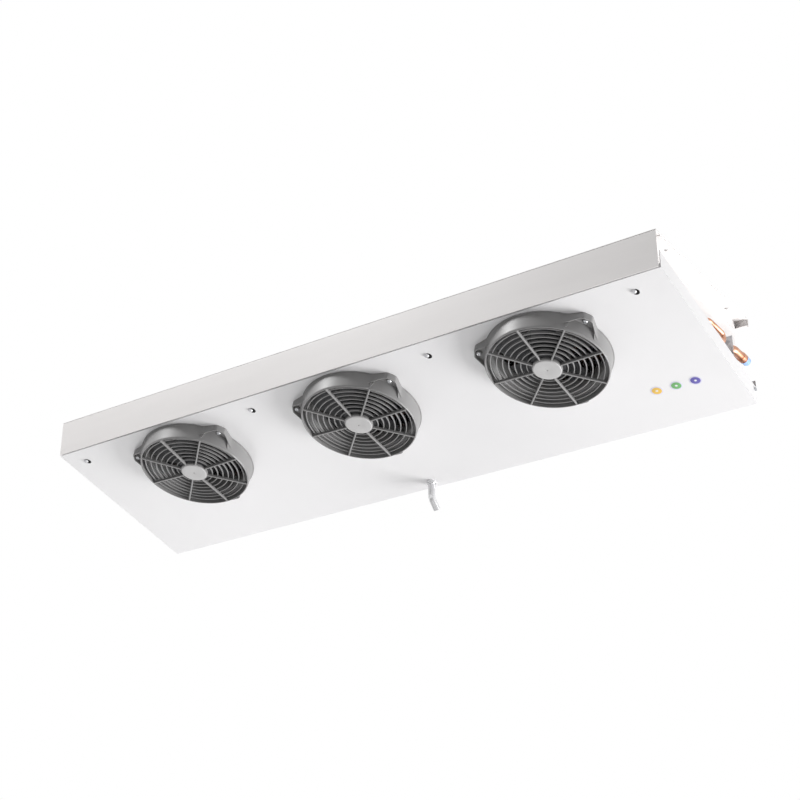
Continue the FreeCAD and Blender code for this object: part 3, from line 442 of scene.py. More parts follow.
# %% Metals
finish("zinc_steel", srgb(206, 208, 211), srgb(176, 178, 182), (0.32, 0.5),
       fine=500.0, bump=0.06, metal=0.85, cells=110.0)
finish("fin_aluminium", srgb(232, 233, 235), srgb(214, 216, 219), (0.28, 0.42),
       broad=6.0, fine=900.0, fine_stretch=(1, 1, 0.05), bump=0.05, metal=0.6)
finish("copper", srgb(226, 178, 152), srgb(164, 108, 80), (0.32, 0.52),
       broad=28.0, fine=600.0, bump=0.06, metal=0.95)
finish("brass", srgb(222, 190, 128), srgb(192, 156, 92), (0.24, 0.36),
       broad=40.0, fine=900.0, fine_stretch=(1, 0.05, 1), bump=0.05, metal=0.95)
finish("steel", srgb(222, 223, 225), srgb(196, 198, 201), (0.18, 0.3),
       broad=60.0, fine=900.0, bump=0.03, metal=0.95)
finish("drain_metal", srgb(236, 236, 237), srgb(218, 218, 220), (0.18, 0.28),
       broad=30.0, fine=800.0, bump=0.04, metal=0.7)

# %% [markdown]
# ### Plastics and black paint
#
# The guards are moulded in a mid grey with a slightly satin skin, and their hub discs in a paler
# one. The impellers and motors are black and only show by their highlights. The two plugs are a
# soft light blue.

# %% Mouldings
finish("guard_grey", srgb(148, 147, 147), srgb(141, 140, 140), (0.36, 0.48),
       broad=9.0, fine=1100.0, bump=0.10, depth=0.0001)
finish("hub_disc_grey", srgb(197, 196, 196), srgb(188, 187, 187), (0.46, 0.56),
       broad=20.0, fine=1200.0, bump=0.06, depth=0.0001)
finish("impeller_black", srgb(78, 78, 80), srgb(66, 66, 68), (0.4, 0.55),
       broad=14.0, fine=900.0, bump=0.08)
finish("motor_black", srgb(52, 52, 55), srgb(42, 42, 44), (0.35, 0.5),
       broad=18.0, fine=700.0, bump=0.12)
for cap in ("suction_cap_plastic", "liquid_cap_plastic"):
    finish(cap, srgb(166, 200, 248), srgb(152, 188, 243), (0.3, 0.42),
           broad=50.0, fine=1000.0, bump=0.05)
finish("box_plastic", srgb(74, 75, 78), srgb(64, 65, 68), (0.45, 0.6),
       broad=20.0, fine=900.0, bump=0.12)

# %% Give every CAD node its slot's finish
for part in frame["record"]["subparts"]:
    mesh = nodes[part["node"]].data
    mesh.materials.clear()
    mesh.materials.append(finishes[part["material_slot"]])

# %% [markdown]
# ## Camera
#
# The cooler hangs from a ceiling, so it is seen from below and behind: from the side that the
# fans draw air through. The camera's place is a point in metres. Three angles could say how it
# is turned, but here its turn is given by the two directions that lie to the right and up in the
# picture, and the second is made square to the first. A long lens keeps the far end from
# shrinking.

# %% Camera
CAMERA_PLACE = (1.6655, -2.3635, -1.457)
view_right = unit(np.array([0.8250, 0.5651, 0.0032]))
view_up = np.array([0.2440, -0.3614, 0.8999])
view_up = unit(view_up - view_right * (view_up @ view_right))
view_back = np.cross(view_right, view_up)
camera_data = bpy.data.cameras.new("camera")
camera_data.lens = 72.7
camera_data.sensor_width = 36.0
camera_data.clip_end = 60.0
camera = bpy.data.objects.new("camera", camera_data)
bpy.context.scene.collection.objects.link(camera)
turn = Matrix([[view_right[k], view_up[k], view_back[k]] for k in range(3)]).to_4x4()
camera.matrix_world = Matrix.Translation(CAMERA_PLACE) @ turn
bpy.context.scene.camera = camera
print("camera at", tuple(round(v, 3) for v in camera.matrix_world.translation))

# %% [markdown]
# ## Room and lamps
#
# A white room alone would light the cooler flat, and lamps alone would leave its hollows black,
# so both are used, and each lamp has one job. The key lamp stands low, in front of the outlet and
# past the pipe end: it lights the tray and the guards' walls. A weak one near the other end evens
# the tray out, and a third shines down on the back panel. An overhead sun with a wide disc lights
# the floor and the top. The room itself is dim, but the lens and all that mirrors or passes light
# see it as plain white.


# %% World
def room_world(strength):
    """An even light of the strength given, and a white of strength 1 for rays that look past."""
    world = bpy.data.worlds.new("room")
    bpy.context.scene.world = world
    world.use_nodes = True
    node, link = world.node_tree.nodes, world.node_tree.links
    node.clear()
    ray = node.new("ShaderNodeLightPath")
    camera_or_glossy = node.new("ShaderNodeMath")
    camera_or_glossy.operation = "MAXIMUM"
    looks_past = node.new("ShaderNodeMath")
    looks_past.operation = "MAXIMUM"
    light = node.new("ShaderNodeBackground")
    light.inputs["Color"].default_value = (1.0, 1.0, 1.0, 1.0)
    light.inputs["Strength"].default_value = strength
    white = node.new("ShaderNodeBackground")
    white.inputs["Color"].default_value = (1.0, 1.0, 1.0, 1.0)
    white.inputs["Strength"].default_value = 1.0
    choose = node.new("ShaderNodeMixShader")
    out = node.new("ShaderNodeOutputWorld")
    link.new(ray.outputs["Is Camera Ray"], camera_or_glossy.inputs[0])
    link.new(ray.outputs["Is Glossy Ray"], camera_or_glossy.inputs[1])
    link.new(camera_or_glossy.outputs[0], looks_past.inputs[0])
    link.new(ray.outputs["Is Transmission Ray"], looks_past.inputs[1])
    link.new(looks_past.outputs[0], choose.inputs[0])
    link.new(light.outputs[0], choose.inputs[1])
    link.new(white.outputs[0], choose.inputs[2])
    link.new(choose.outputs[0], out.inputs["Surface"])


room_world(0.14)


# %% Lamps
def lamp(name, place, target, size, power):
    """A square area lamp at place that faces target, its size in metres and power in watts."""
    data = bpy.data.lights.new(name, "AREA")
    data.shape = "SQUARE"
    data.size = size
    data.energy = power
    thing = bpy.data.objects.new(name, data)
    bpy.context.scene.collection.objects.link(thing)
    facing = (Vector(target) - Vector(place)).to_track_quat("-Z", "Y")
    thing.matrix_world = Matrix.Translation(place) @ facing.to_matrix().to_4x4()


lamp("key", (3.0, 2.1, -2.1), (0.0, 0.0, -0.1), 2.0, 189.0)
lamp("low_fill", (-2.6, 1.2, -1.8), (-0.4, 0.0, -0.1), 1.6, 13.6)
lamp("band_fill", (-2.0, -2.0, 2.6), (0.0, -0.2, -0.05), 1.2, 122.0)
overhead = bpy.data.lights.new("overhead", "SUN")
overhead.energy = 0.8
overhead.angle = math.radians(60.0)
bpy.context.scene.collection.objects.link(bpy.data.objects.new("overhead", overhead))

# %% Floor
FLOOR_LEVEL = -3.4
FLOOR_REACH = 9.0
corners = [(-1, -1), (1, -1), (1, 1), (-1, 1)]
floor_points = [(x * FLOOR_REACH, y * FLOOR_REACH, FLOOR_LEVEL) for x, y in corners]
floor_mesh = bpy.data.meshes.new("floor")
floor_mesh.from_pydata(floor_points, [], [(0, 1, 2, 3)])
floor = bpy.data.objects.new("floor", floor_mesh)
bpy.context.scene.collection.objects.link(floor)
finish("floor_pale", srgb(240, 240, 240), srgb(236, 236, 236), (0.7, 0.9), broad=0.5, bump=0.02)
floor_mesh.materials.append(finishes["floor_pale"])
bpy.context.scene.view_settings.view_transform = "Standard"

# %% [markdown]
# ## Fan guards
#
# Each guard is one moulding: a ring with an eased crown, an upright mouth and a bell, eight
# spokes, seven rings that sit behind the spokes, a hub, and three hollow ears for the screws. The
# ring could be cut from cylinders and bevelled, but an outline turned about the fan's axis, with
# each corner rounded so that it catches light, gives it in one step. Its heights and radii repeat
# the solid's sizes. The base lip has a small undercut, because a moulding never meets sheet metal
# without a dark line of shadow.

# %% Guard sizes, in millimetres
GUARD_HEIGHT = 34.0
HUB_DROP = 2.4
HUB_FACE = -GUARD_HEIGHT - HUB_DROP
MOUTH_RADIUS = 111.0
THROAT_RADIUS = 101.0
BELL_START, BELL_END = -16.0, -6.0
SPIGOT_RADIUS, SPIGOT_HEIGHT = 103.4, 24.0
LIP_RADIUS, LIP_HEIGHT = 118.0, 2.2
WALL_BASE, WALL_CROWN, CROWN_START = 116.4, 114.0, -31.4
SPOKE_COUNT = 8
SPOKE_DEPTH = 6.0
RING_COUNT, FIRST_RING, RING_PITCH = 7, 37.4, 11.0
RING_SETBACK, RING_DEPTH = 4.0, 4.6
HUB_RADIUS = 28.0
LUG_ANGLES = (-30.0, 90.0, 210.0)
LUG_SCREW_RADIUS = 126.0
LUG_FLOOR = 11.5


# %% The ring
def guard_ring():
    """Outline from the spigot's inner end, out over the lip and wall, to the mouth and the bell."""
    outline = [
        (THROAT_RADIUS, SPIGOT_HEIGHT), (SPIGOT_RADIUS, SPIGOT_HEIGHT), (SPIGOT_RADIUS, 0.0),
        (LIP_RADIUS - 1.1, 0.0), (LIP_RADIUS, -0.9), (LIP_RADIUS, -LIP_HEIGHT),
        (WALL_BASE, -LIP_HEIGHT), (WALL_CROWN, CROWN_START), (MOUTH_RADIUS + 1.5, -GUARD_HEIGHT),
        (MOUTH_RADIUS, -GUARD_HEIGHT), (MOUTH_RADIUS, BELL_START), (THROAT_RADIUS, BELL_END),
    ]
    radii = [0.6, 0.6, 0.5, 0.2, 0.2, 0.5, 0.5, 5.0, 1.4, 0.5, 6.0, 8.0]
    return skin(turned(rounded(outline, radii, 6, closed=True), 160), ring=True)


# %% Rings and spokes of the grille
def grille_level(radius):
    """Lift of the spokes' face: level with the crown at the mouth, lower at the hub."""
    inward = (MOUTH_RADIUS - radius) / (MOUTH_RADIUS - HUB_RADIUS)
    return -GUARD_HEIGHT - HUB_DROP * inward


def grille_ring(radius):
    """A narrow upright band with a round lower edge, turned about the axis behind the spokes."""
    level = grille_level(radius) + RING_SETBACK
    back = level + RING_DEPTH
    outline = [(radius - 1.0, level), (radius + 1.0, level),
               (radius + 0.7, back), (radius - 0.7, back)]
    return skin(turned(rounded(outline, [0.75, 0.75, 0.25, 0.25], 5, closed=True), 112), ring=True)


def spoke(degrees):
    """An upright blade with a round lower edge, carried from the hub out to the ring."""
    section = rounded([(-1.8, 0.0), (1.8, 0.0), (1.2, SPOKE_DEPTH), (-1.2, SPOKE_DEPTH)],
                      [1.1, 1.1, 0.3, 0.3], 5, closed=True)
    radius = np.array([26.0, 27.0, 50.0, 80.0, 108.0, 111.7])[:, None]
    lift = grille_level(radius) + section[:, 1]
    grid = np.stack(np.broadcast_arrays(radius, section[:, 0], lift), -1)
    return skin(spun(grid, degrees))


def guard_hub():
    """The round boss that joins the spokes, with a shallow seat for the disc in its face."""
    outline = [
        (0.0, HUB_FACE + 2.2), (24.0, HUB_FACE + 2.2), (24.0, HUB_FACE), (HUB_RADIUS, HUB_FACE),
        (HUB_RADIUS, HUB_FACE + SPOKE_DEPTH), (0.0, HUB_FACE + SPOKE_DEPTH),
    ]
    return skin(turned(rounded(outline, [0.5, 0.5, 1.2, 0.8], 5), 72))


# %% [markdown]
# ### The ears
#
# An ear is a hollow triangle that swells out of the ring's wall: a thin rim all round, a pocket
# inside, and a small boss in the pocket for the screw. It could be cut out of a block, but a
# section carried along the ring's arc gives the smooth swelling directly. At each angle the
# section runs from the tray along the outer wall, over the rim, down into the pocket and along
# its floor into the ring's wall, where its last points are hidden. Beside the pocket the
# section's inner points lie on one slope, and the rim rises along the ring as the ear narrows.

# %% Ear sizes, in millimetres and degrees
EAR_SWEEP = 25.0
EAR_TIP = 135.6
EAR_SIDE = 145.0
EAR_RIM, EAR_RISE, EAR_FALL_OFF = -13.3, 7.2, 19.6
EAR_DRAFT = 0.02
EDGE_BLEND, WALL_BLEND = 1.3, 1.6
RIM_SHEET = 2.3
RIM_EDGE = 1.1
POCKET_FLOOR = -7.5
POCKET_BACK, POCKET_BACK_TOP = 114.2, -19.5
POCKET_OPENING = 7.0
CROWN_RADIUS, CROWN_LIFT = 113.7, -31.0
HIDDEN_RADIUS = 112.4


def larger(a, b, softness):
    """The larger of two values with no corner between them: s log(exp(a / s) + exp(b / s))."""
    return softness * np.logaddexp(a / softness, b / softness)


# %% One ear
def ear(degrees):
    """Sections at angles a off the ear's middle, each a closed line of (radius, lift) points.

    The edge is the nearer of a straight side, EAR_SIDE / (cos a + sin |a|), and the tip,
    EAR_TIP / cos a. The outer wall is the further of that edge and the ring's wall. Both choices
    are blended by larger(), so no corner is left between the two. The pocket opens by the smooth
    step x^2 (3 - 2x) of the room that there is between the rim and POCKET_BACK.
    """
    a = np.radians(np.linspace(-EAR_SWEEP, EAR_SWEEP, 121))
    side = EAR_SIDE / (np.cos(a) + np.abs(np.sin(a)))
    edge = -larger(-side, -EAR_TIP / np.cos(a), EDGE_BLEND)
    rim = EAR_RIM - EAR_RISE * np.clip((EAR_TIP - edge) / EAR_FALL_OFF, 0.0, 1.1) ** 1.5

    def wall(lift):
        up = np.maximum(-lift - LIP_HEIGHT, 0.0) / (-CROWN_START - LIP_HEIGHT)
        ring_wall = WALL_BASE - (WALL_BASE - WALL_CROWN) * up
        return larger(edge + EAR_DRAFT * lift, ring_wall, WALL_BLEND) - 0.12

    top = wall(rim)
    inner = top - RIM_SHEET
    back = np.minimum(POCKET_BACK, inner - RIM_EDGE)
    opened = np.clip((inner - RIM_EDGE - POCKET_BACK) / POCKET_OPENING, 0.0, 1.0)
    opened = opened ** 2 * (3.0 - 2.0 * opened)
    inward = np.clip((inner - back) / np.maximum(inner - CROWN_RADIUS, 1.2), 0.0, 1.0)
    slope = rim + (CROWN_LIFT - rim) * inward
    floor = slope + (POCKET_FLOOR - slope) * opened
    back_top = slope + (POCKET_BACK_TOP - slope) * opened
    outer_wall = [(wall(rim * f), rim * f) for f in (0.0, 0.04, 0.3, 0.6, 0.88)]
    over_rim = [(top - 0.15, rim + 0.4), (top - 0.5, rim + 0.08), (top - 1.0, rim),
                (inner + 0.6, rim), (inner + 0.15, rim + 0.1)]
    pocket = [(inner - 0.05, rim + 0.5 * opened), (inner - 0.3, floor + 0.4 * (rim - floor)),
              (inner - 0.6, floor), (back + 0.4, floor)]
    pocket_back = [(back + 0.2, floor + 0.4 * (back_top - floor)), (back, back_top + 0.3 * opened),
                   (back - 0.2, back_top - 0.1), (back - 0.7, back_top - 0.7)]
    hidden = [(CROWN_RADIUS, CROWN_LIFT), (HIDDEN_RADIUS, -29.5), (HIDDEN_RADIUS, -1.0)]
    hidden = [(np.full(len(a), r), np.full(len(a), n)) for r, n in hidden]
    rows = outer_wall + over_rim + pocket + pocket_back + hidden
    radius = np.stack([r for r, _ in rows], 1)
    lift = np.stack([n for _, n in rows], 1)
    grid = np.stack([radius * np.cos(a)[:, None], radius * np.sin(a)[:, None], lift], -1)
    return skin(spun(grid, degrees))


def ear_boss(degrees):
    """The small post under the screw, turned, then moved out to the screw's place."""
    foot = POCKET_FLOOR + 0.5
    outline = [(0.0, -LUG_FLOOR), (5.3, -LUG_FLOOR), (6.0, foot), (0.0, foot)]
    grid = turned(rounded(outline, [0.5, 0.2], 5), 40) + [LUG_SCREW_RADIUS, 0.0, 0.0]
    return skin(spun(grid, degrees))


# %% Put the three guards together
def moved(part, centre):
    """A skin drawn flat, turned onto the tray about a point of its face."""
    return outward(on_tray(part[0], centre), part[1], part[2])


guard_parts = [guard_ring(), guard_hub()]
guard_parts += [grille_ring(FIRST_RING + RING_PITCH * index) for index in range(RING_COUNT)]
guard_parts += [spoke(360.0 / SPOKE_COUNT * index) for index in range(SPOKE_COUNT)]
guard_parts += [make(angle) for angle in LUG_ANGLES for make in (ear, ear_boss)]
for number, centre in enumerate(fan_centres, 1):
    piece("guard_%d" % number, [moved(part, centre) for part in guard_parts], "tray",
          "guard_grey", ("fan_guards",))

# %% [markdown]
# ## Hub discs
#
# A plain disc is pushed into the hub of each guard. Its rim is eased, and it has a small sink
# mark at the middle where it was moulded. On a real cooler it may carry the maker's sign; here it
# is bare.

# %% Hub discs
DISC_FACE = HUB_FACE - 1.4
MARK_FLOOR = HUB_FACE - 0.2
disc_outline = [(0.0, MARK_FLOOR), (1.3, MARK_FLOOR), (1.9, DISC_FACE), (25.1, DISC_FACE),
                (26.5, HUB_FACE), (0.0, HUB_FACE)]
disc = skin(turned(rounded(disc_outline, [0.2, 0.2, 1.0, 0.05], 5), 96))
piece("hub_discs_round", [moved(disc, centre) for centre in fan_centres], "tray", "hub_disc_grey",
      ("hub_discs",))

# %% [markdown]
# ## Screws with a cross recess
#
# A screw head is a dome with a cross pressed into it. The cross could be cut out with a boolean,
# but on a grid of radius and angle it is one sum: the dome's height, less a dip wherever a point
# lies near one of the two arms of the cross. The dip has sloping sides: it deepens evenly towards
# an arm's middle line and then stays level.


# %% One screw head
def screw_head(radius, height, arm, reach, dip):
    """Height = dome - dip * across * along, in millimetres.

    The dome is height * sqrt(1 - 0.92 (r / radius)^2). across goes from 0 at the distance arm
    from an arm's middle line to 1 half way in, and along from 0 at reach to 1 a quarter of it in.
    """
    angle = np.linspace(0.0, 2.0 * np.pi, 72, endpoint=False)
    r = np.r_[np.linspace(0.02, 0.62, 16), np.linspace(0.68, 1.0, 9)][:, None] * radius
    x, y = r * np.cos(angle), r * np.sin(angle)
    near = np.minimum(np.abs(x), np.abs(y))
    across = np.clip((arm - near) / (arm * 0.5), 0.0, 1.0)
    along = np.clip((reach - r) / (reach * 0.25), 0.0, 1.0)
    dome = height * np.sqrt(np.clip(1.0 - (r / radius) ** 2 * 0.92, 0.0, 1.0))
    level = np.maximum(dome - dip * across * along, 0.2)
    top = np.stack([x, y, -level], -1)
    rim = turned([(radius, 0.0)], 72)
    return skin(np.concatenate([top, rim, rim * [0.3, 0.3, 1.0]]))


def at(part, x, y, z, degrees=0.0):
    """A skin turned about z, then moved."""
    return spun(part[0], degrees) + [x, y, z], part[1], part[2]


# %% Guard screws
guard_head = screw_head(radius=4.4, height=2.6, arm=0.75, reach=2.5, dip=1.5)
screw_skins = []
for centre in fan_centres:
    for number, angle in enumerate(LUG_ANGLES):
        x = LUG_SCREW_RADIUS * math.cos(math.radians(angle))
        y = LUG_SCREW_RADIUS * math.sin(math.radians(angle))
        head = at(guard_head, x, y, -LUG_FLOOR, 20.0 + 37.0 * number)
        screw_skins.append(moved(head, centre))
piece("guard_screw_heads", screw_skins, "tray", "steel", ("guard_screws",))

# %% [markdown]
# ### Tray screws
#
# The tray is held shut by four screws in short slots, and beside each head the shade in the slot's
# open end shows as a dark half-moon. A hole could be cut in the sheet, but the sheet itself stays
# as it is, so that shade is painted on: a dark inlay a quarter of a millimetre proud, an oval
# turned and then stretched down the slope. The head is taller than a guard's screw, and it sits a
# little to one side of the solid's middle, with the painted shade to the other.

# %% Slots
finish("screw_bright", srgb(236, 236, 238), srgb(214, 214, 217), (0.25, 0.4), broad=200.0,
       fine=900.0, bump=0.03, metal=0.3)
# Painted shade: a near-black finish for the inlay that stands where the slot's open end lies in
# shade.
finish("slot_painted_shade", srgb(34, 33, 34), srgb(26, 25, 26), (0.7, 0.85), bump=0.05, specular=0.25)


def slot_shade_oval(x, y, half_width=6.4, half_length=7.4, proud=0.25):
    """A dark oval of painted shade about (x, y), standing proud of the sheet, all in millimetres.
    """
    grid = turned(rounded([(0.0, -proud), (1.0, -proud), (1.0, 0.05)], [0.02], 3), 56)
    return skin(grid * [half_width, half_length, 1.0] + [x, y, 0.0])


# %% The screws' places are their solids' own middles
screw_points = node_points("tray_screws")
along_order = np.sort(screw_points[:, 0])
gaps = np.flatnonzero(np.diff(along_order) > 0.05)
starts = np.r_[0, gaps + 1]
ends = np.r_[gaps, len(along_order) - 1]
screw_xs = (along_order[starts] + along_order[ends]) / 2.0
screw_slope = screw_points @ SLOPE
slope_middle = (screw_slope.min() + screw_slope.max()) / 2.0
print("tray screws at", screw_xs.round(4), "down the slope", slope_middle.round(4))

# %% Tray screws
tray_head = screw_head(radius=4.9, height=4.2, arm=0.8, reach=2.9, dip=1.5)
screw_skins, slot_shade_skins = [], []
for number, x in enumerate(screw_xs):
    place = ALONG * x + SLOPE * slope_middle + LIFT * tray_face
    screw_skins.append(moved(at(tray_head, -1.1, -0.8, 0.0, 15.0 + 50.0 * number), place))
    # Painted shade: a dark oval beside each head, where the slot's open end lies in shade.
    slot_shade_skins.append(moved(slot_shade_oval(1.5, 2.0), place))
piece("tray_screw_heads", screw_skins, "tray", "screw_bright", ("tray_screws",))
piece("tray_screw_slot_shades", slot_shade_skins, "tray", "slot_painted_shade", ())

# %% [markdown]
# ## Impellers and motors
#
# The impeller has five sickle blades. A blade could be a bent sheet with a Solidify modifier, but
# a real one is thicker near one edge. So it is a thin wing section carried from the hub to
# the tip: at each radius the section is wrapped round the axis, pitched less towards the tip, and
# slid round to give the sickle its sweep. The motor is a squat can with stepped ends.

# %% Impeller sizes, in millimetres
MOTOR_SEAT = HUB_FACE + 6.0
MOTOR_TOP = MOTOR_SEAT + 30.0
HUB_BASE = MOTOR_TOP + 1.5
HUB_DEPTH = 18.0
BLADE_COUNT = 5
BLADE_ROOT, IMPELLER_RADIUS = 38.0, 98.3


def blade(degrees):
    """A wing section carried outwards, with u from 0 at the root to 1 at the tip.

    A section point (c, t), along the chord and across it, goes at radius r to the angle
    sweep(u) + c cos(pitch) / r and to the lift c sin(pitch) + t cos(pitch).
    """
    u = np.linspace(0.0, 1.0, 15)[:, None]
    radius = BLADE_ROOT + (IMPELLER_RADIUS - BLADE_ROOT) * u
    v = np.linspace(0.0, 2.0 * np.pi, 36, endpoint=False)[None, :]
    chord = 21.0 + 6.0 * np.sin(np.pi * (0.15 + 0.6 * u))
    c = chord * np.cos(v)
    camber = 4.2 * (1.0 - np.cos(v) ** 2)
    t = 0.95 * np.sin(v) * (1.0 - 0.35 * np.cos(v)) + camber
    pitch = np.radians(29.0 - 9.0 * u)
    sweep = np.radians(-4.0 + 16.0 * u ** 1.5)
    angle = sweep + c * np.cos(pitch) / radius
    lift = HUB_BASE + 7.0 + c * np.sin(pitch) + t * np.cos(pitch)
    grid = np.stack([radius * np.cos(angle), radius * np.sin(angle), lift], -1)
    return skin(spun(grid, degrees))


def impeller_hub():
    """A squat drum with a rounded shoulder, closed on the axis."""
    radius, top = BLADE_ROOT + 2.0, HUB_BASE + HUB_DEPTH
    outline = [(0.0, HUB_BASE), (radius, HUB_BASE), (radius, top), (0.0, top)]
    return skin(turned(rounded(outline, [1.5, 3.0], 6), 96))


# %% Impellers ride on their own rotors
wheel = [impeller_hub()] + [blade(360.0 / BLADE_COUNT * index) for index in range(BLADE_COUNT)]
for number, centre in enumerate(fan_centres, 1):
    piece("impeller_%d_round" % number, [moved(part, centre) for part in wheel],
          "rotor_%d" % number, "impeller_black", ("impeller_%d" % number,))


# %% Motors
MOTOR_RADIUS = 36.0


def motor_can():
    """The can's wide middle between two stepped ends, with a shallow dish round the shaft."""
    outline = [
        (0.0, MOTOR_SEAT), (MOTOR_RADIUS - 1.5, MOTOR_SEAT), (MOTOR_RADIUS - 1.5, MOTOR_SEAT + 3.0),
        (MOTOR_RADIUS, MOTOR_SEAT + 4.0), (MOTOR_RADIUS, MOTOR_TOP - 6.0),
        (MOTOR_RADIUS - 1.4, MOTOR_TOP - 5.0), (MOTOR_RADIUS - 1.4, MOTOR_TOP),
        (6.0, MOTOR_TOP), (6.0, MOTOR_TOP - 0.5), (0.0, MOTOR_TOP - 0.5),
    ]
    return skin(turned(rounded(outline, [0.8, 0.3, 0.6, 0.6, 0.3, 1.6, 0.3, 0.2], 5), 72))


piece("motor_cans", [moved(motor_can(), centre) for centre in fan_centres], "tray",
      "motor_black", ("fan_motors",))

# %% [markdown]
# ## Coil
#
# The coil is a stack of thin aluminium fins on copper tubes. The solids have fewer fins, so here
# they are at their real distance of six millimetres, each with the shallow waves that are rolled
# into real fins. An Array modifier could repeat one fin, but the fins are only more points of the
# same mesh, so none is needed. The tubes run to and fro in the three rows, joined by return bends
# at the ends.

# %% Fins
coil_low, coil_high = box_mm("fin_pack")
FIN_PITCH = 6.0
FIN_WAVE = 0.7
FIN_HALF_SHEET = 0.1
ROWS, LEVELS = 3, 4
row_pitch = (coil_high[1] - coil_low[1]) / ROWS
level_pitch = (coil_high[2] - coil_low[2]) / LEVELS


def fin(x):
    """A thin upright sheet, closed round its edges, whose x swings as it goes back.

    The swing is FIN_WAVE sin(4 pi d), with d the depth in rows of tubes: two waves for each row.
    """
    steps = 25
    depth = np.linspace(coil_low[1], coil_high[1], steps)
    wave = x + FIN_WAVE * np.sin((depth - coil_low[1]) / row_pitch * 4.0 * np.pi)
    side = np.concatenate([wave - FIN_HALF_SHEET, (wave + FIN_HALF_SHEET)[::-1]])
    y = np.concatenate([depth, depth[::-1]])
    levels = np.array([coil_low[2], coil_high[2]])[:, None]
    points = np.stack(np.broadcast_arrays(side, y, levels), -1).reshape(-1, 3) * MM
    index = np.arange(2 * steps)
    beside = np.roll(index, -1)
    walls = np.stack([index, beside, beside + 2 * steps, index + 2 * steps], -1)
    near = np.arange(steps - 1)
    far = 2 * steps - 1 - near
    lower = np.stack([near, near + 1, far - 1, far], -1)
    quads = np.vstack([walls, lower[:, ::-1], lower + 2 * steps])
    return outward(points, quads, np.empty((0, 3), int))


fin_count = int((coil_high[0] - coil_low[0] - 4.0) // FIN_PITCH)
fin_xs = (np.arange(fin_count) - (fin_count - 1) / 2.0) * FIN_PITCH
piece("fins", [fin(x) for x in fin_xs], "casing", "fin_aluminium", ("fin_pack",))


# %% Coil tubes
def tube_centre(row, level):
    """Centre of a tube in y and z: even rows sit a quarter pitch higher, odd rows lower."""
    shift = level_pitch / 4.0 if row % 2 == 0 else -level_pitch / 4.0
    y = coil_low[1] + row_pitch * (row + 0.5)
    return y, coil_high[2] - level_pitch * (level + 0.5) + shift


CIRCUITS = [
    [(2, 1), (2, 0), (1, 0), (0, 0), (0, 1), (1, 1)],
    [(2, 2), (2, 3), (1, 3), (0, 3), (0, 2), (1, 2)],
]
TUBE_RADIUS = 6.35
bend_reach = box_mm("coil_tubes")[1][0] - TUBE_RADIUS
header_x = box_mm("suction_header")[0][0]


def circuit(path):
    """Out and back along x through each tube of the path, turning round at alternate ends.

    Each path starts and ends at the suction header's near side.
    """
    centres = [tube_centre(*cell) for cell in path]
    points = [(header_x, *centres[0])]
    for index, (first, second) in enumerate(zip(centres, centres[1:])):
        side = -1.0 if index % 2 == 0 else 1.0
        points += [(side * bend_reach, *first), (side * bend_reach, *second)]
    points.append((header_x, *centres[-1]))
    bend = min(level_pitch, row_pitch) / 2.0 - 0.2
    return skin(pipe(np.array(points) * MM, bend * MM, TUBE_RADIUS * MM))


piece("coil_tubes_round", [circuit(path) for path in CIRCUITS], "casing",
      "copper", ("coil_tubes",))

# %% [markdown]
# ## Pipes at the right-hand end
#
# The suction pipe comes through the end plate and turns towards the room, where it is widened to
# take the next pipe. The thinner liquid line comes out nearer the back, runs forward, turns back
# under itself and ends in a plug. A curve with a bevel would make such a tube too, but rings
# along a rounded line give true arcs, made as all the other pieces are. The widened end and the
# plugs are outlines turned round the y axis instead of the z axis.


# %% Shapes that lie along y
def along_y(outline, radii, steps, segments, base):
    """An outline of (radius, distance along y) turned about an axis through base, as one skin."""
    grid = turned(rounded(outline, radii, steps), segments)[..., [0, 2, 1]]
    return skin((grid + base) * MM)


# %% Suction pipe
low, high = box_mm("suction_pipe")
SUCTION_RADIUS = 7.94
SUCTION_BEND = 13.0
SOCKET_RADIUS, SOCKET_LENGTH = 9.2, 16.0
suction_x = high[0] - SOCKET_RADIUS
suction_y = low[1] + SUCTION_RADIUS
suction_z = (low[2] + high[2]) / 2.0
suction_run = np.array([
    (low[0] + 1.0, suction_y, suction_z), (suction_x, suction_y, suction_z),
    (suction_x, high[1] - SOCKET_LENGTH + 1.0, suction_z),
])
groove = SOCKET_RADIUS - 1.5
socket_outline = [
    (0.0, 0.0), (SUCTION_RADIUS - 0.3, 0.0), (SOCKET_RADIUS, 3.0), (SOCKET_RADIUS, 13.2),
    (groove, 13.4), (groove, 15.0), (SOCKET_RADIUS - 0.2, 15.2),
    (SOCKET_RADIUS - 0.2, SOCKET_LENGTH), (0.0, SOCKET_LENGTH),
]
socket_base = [suction_x, high[1] - SOCKET_LENGTH, suction_z]
suction_skins = [
    skin(pipe(suction_run * MM, SUCTION_BEND * MM, SUCTION_RADIUS * MM)),
    along_y(socket_outline, [1.5, 1.5, 0.3, 0.1, 0.1, 0.2, 0.2], 5, 48, socket_base),
]
piece("suction_pipe_round", suction_skins, "casing", "copper", ("suction_pipe",))

# %% Plug in the suction pipe
low, high = box_mm("suction_cap")
length, radius = high[1] - low[1], (high[0] - low[0]) / 2.0
plug_outline = [(0.0, 0.0), (radius, 0.0), (radius, 3.0), (radius - 0.7, 3.4),
                (radius - 0.9, length), (0.0, length)]
plug = along_y(plug_outline, [0.5, 0.5, 0.3, 1.6], 6, 48, [suction_x, low[1], suction_z])
piece("suction_plug", [plug], "casing", "suction_cap_plastic", ("suction_cap",))

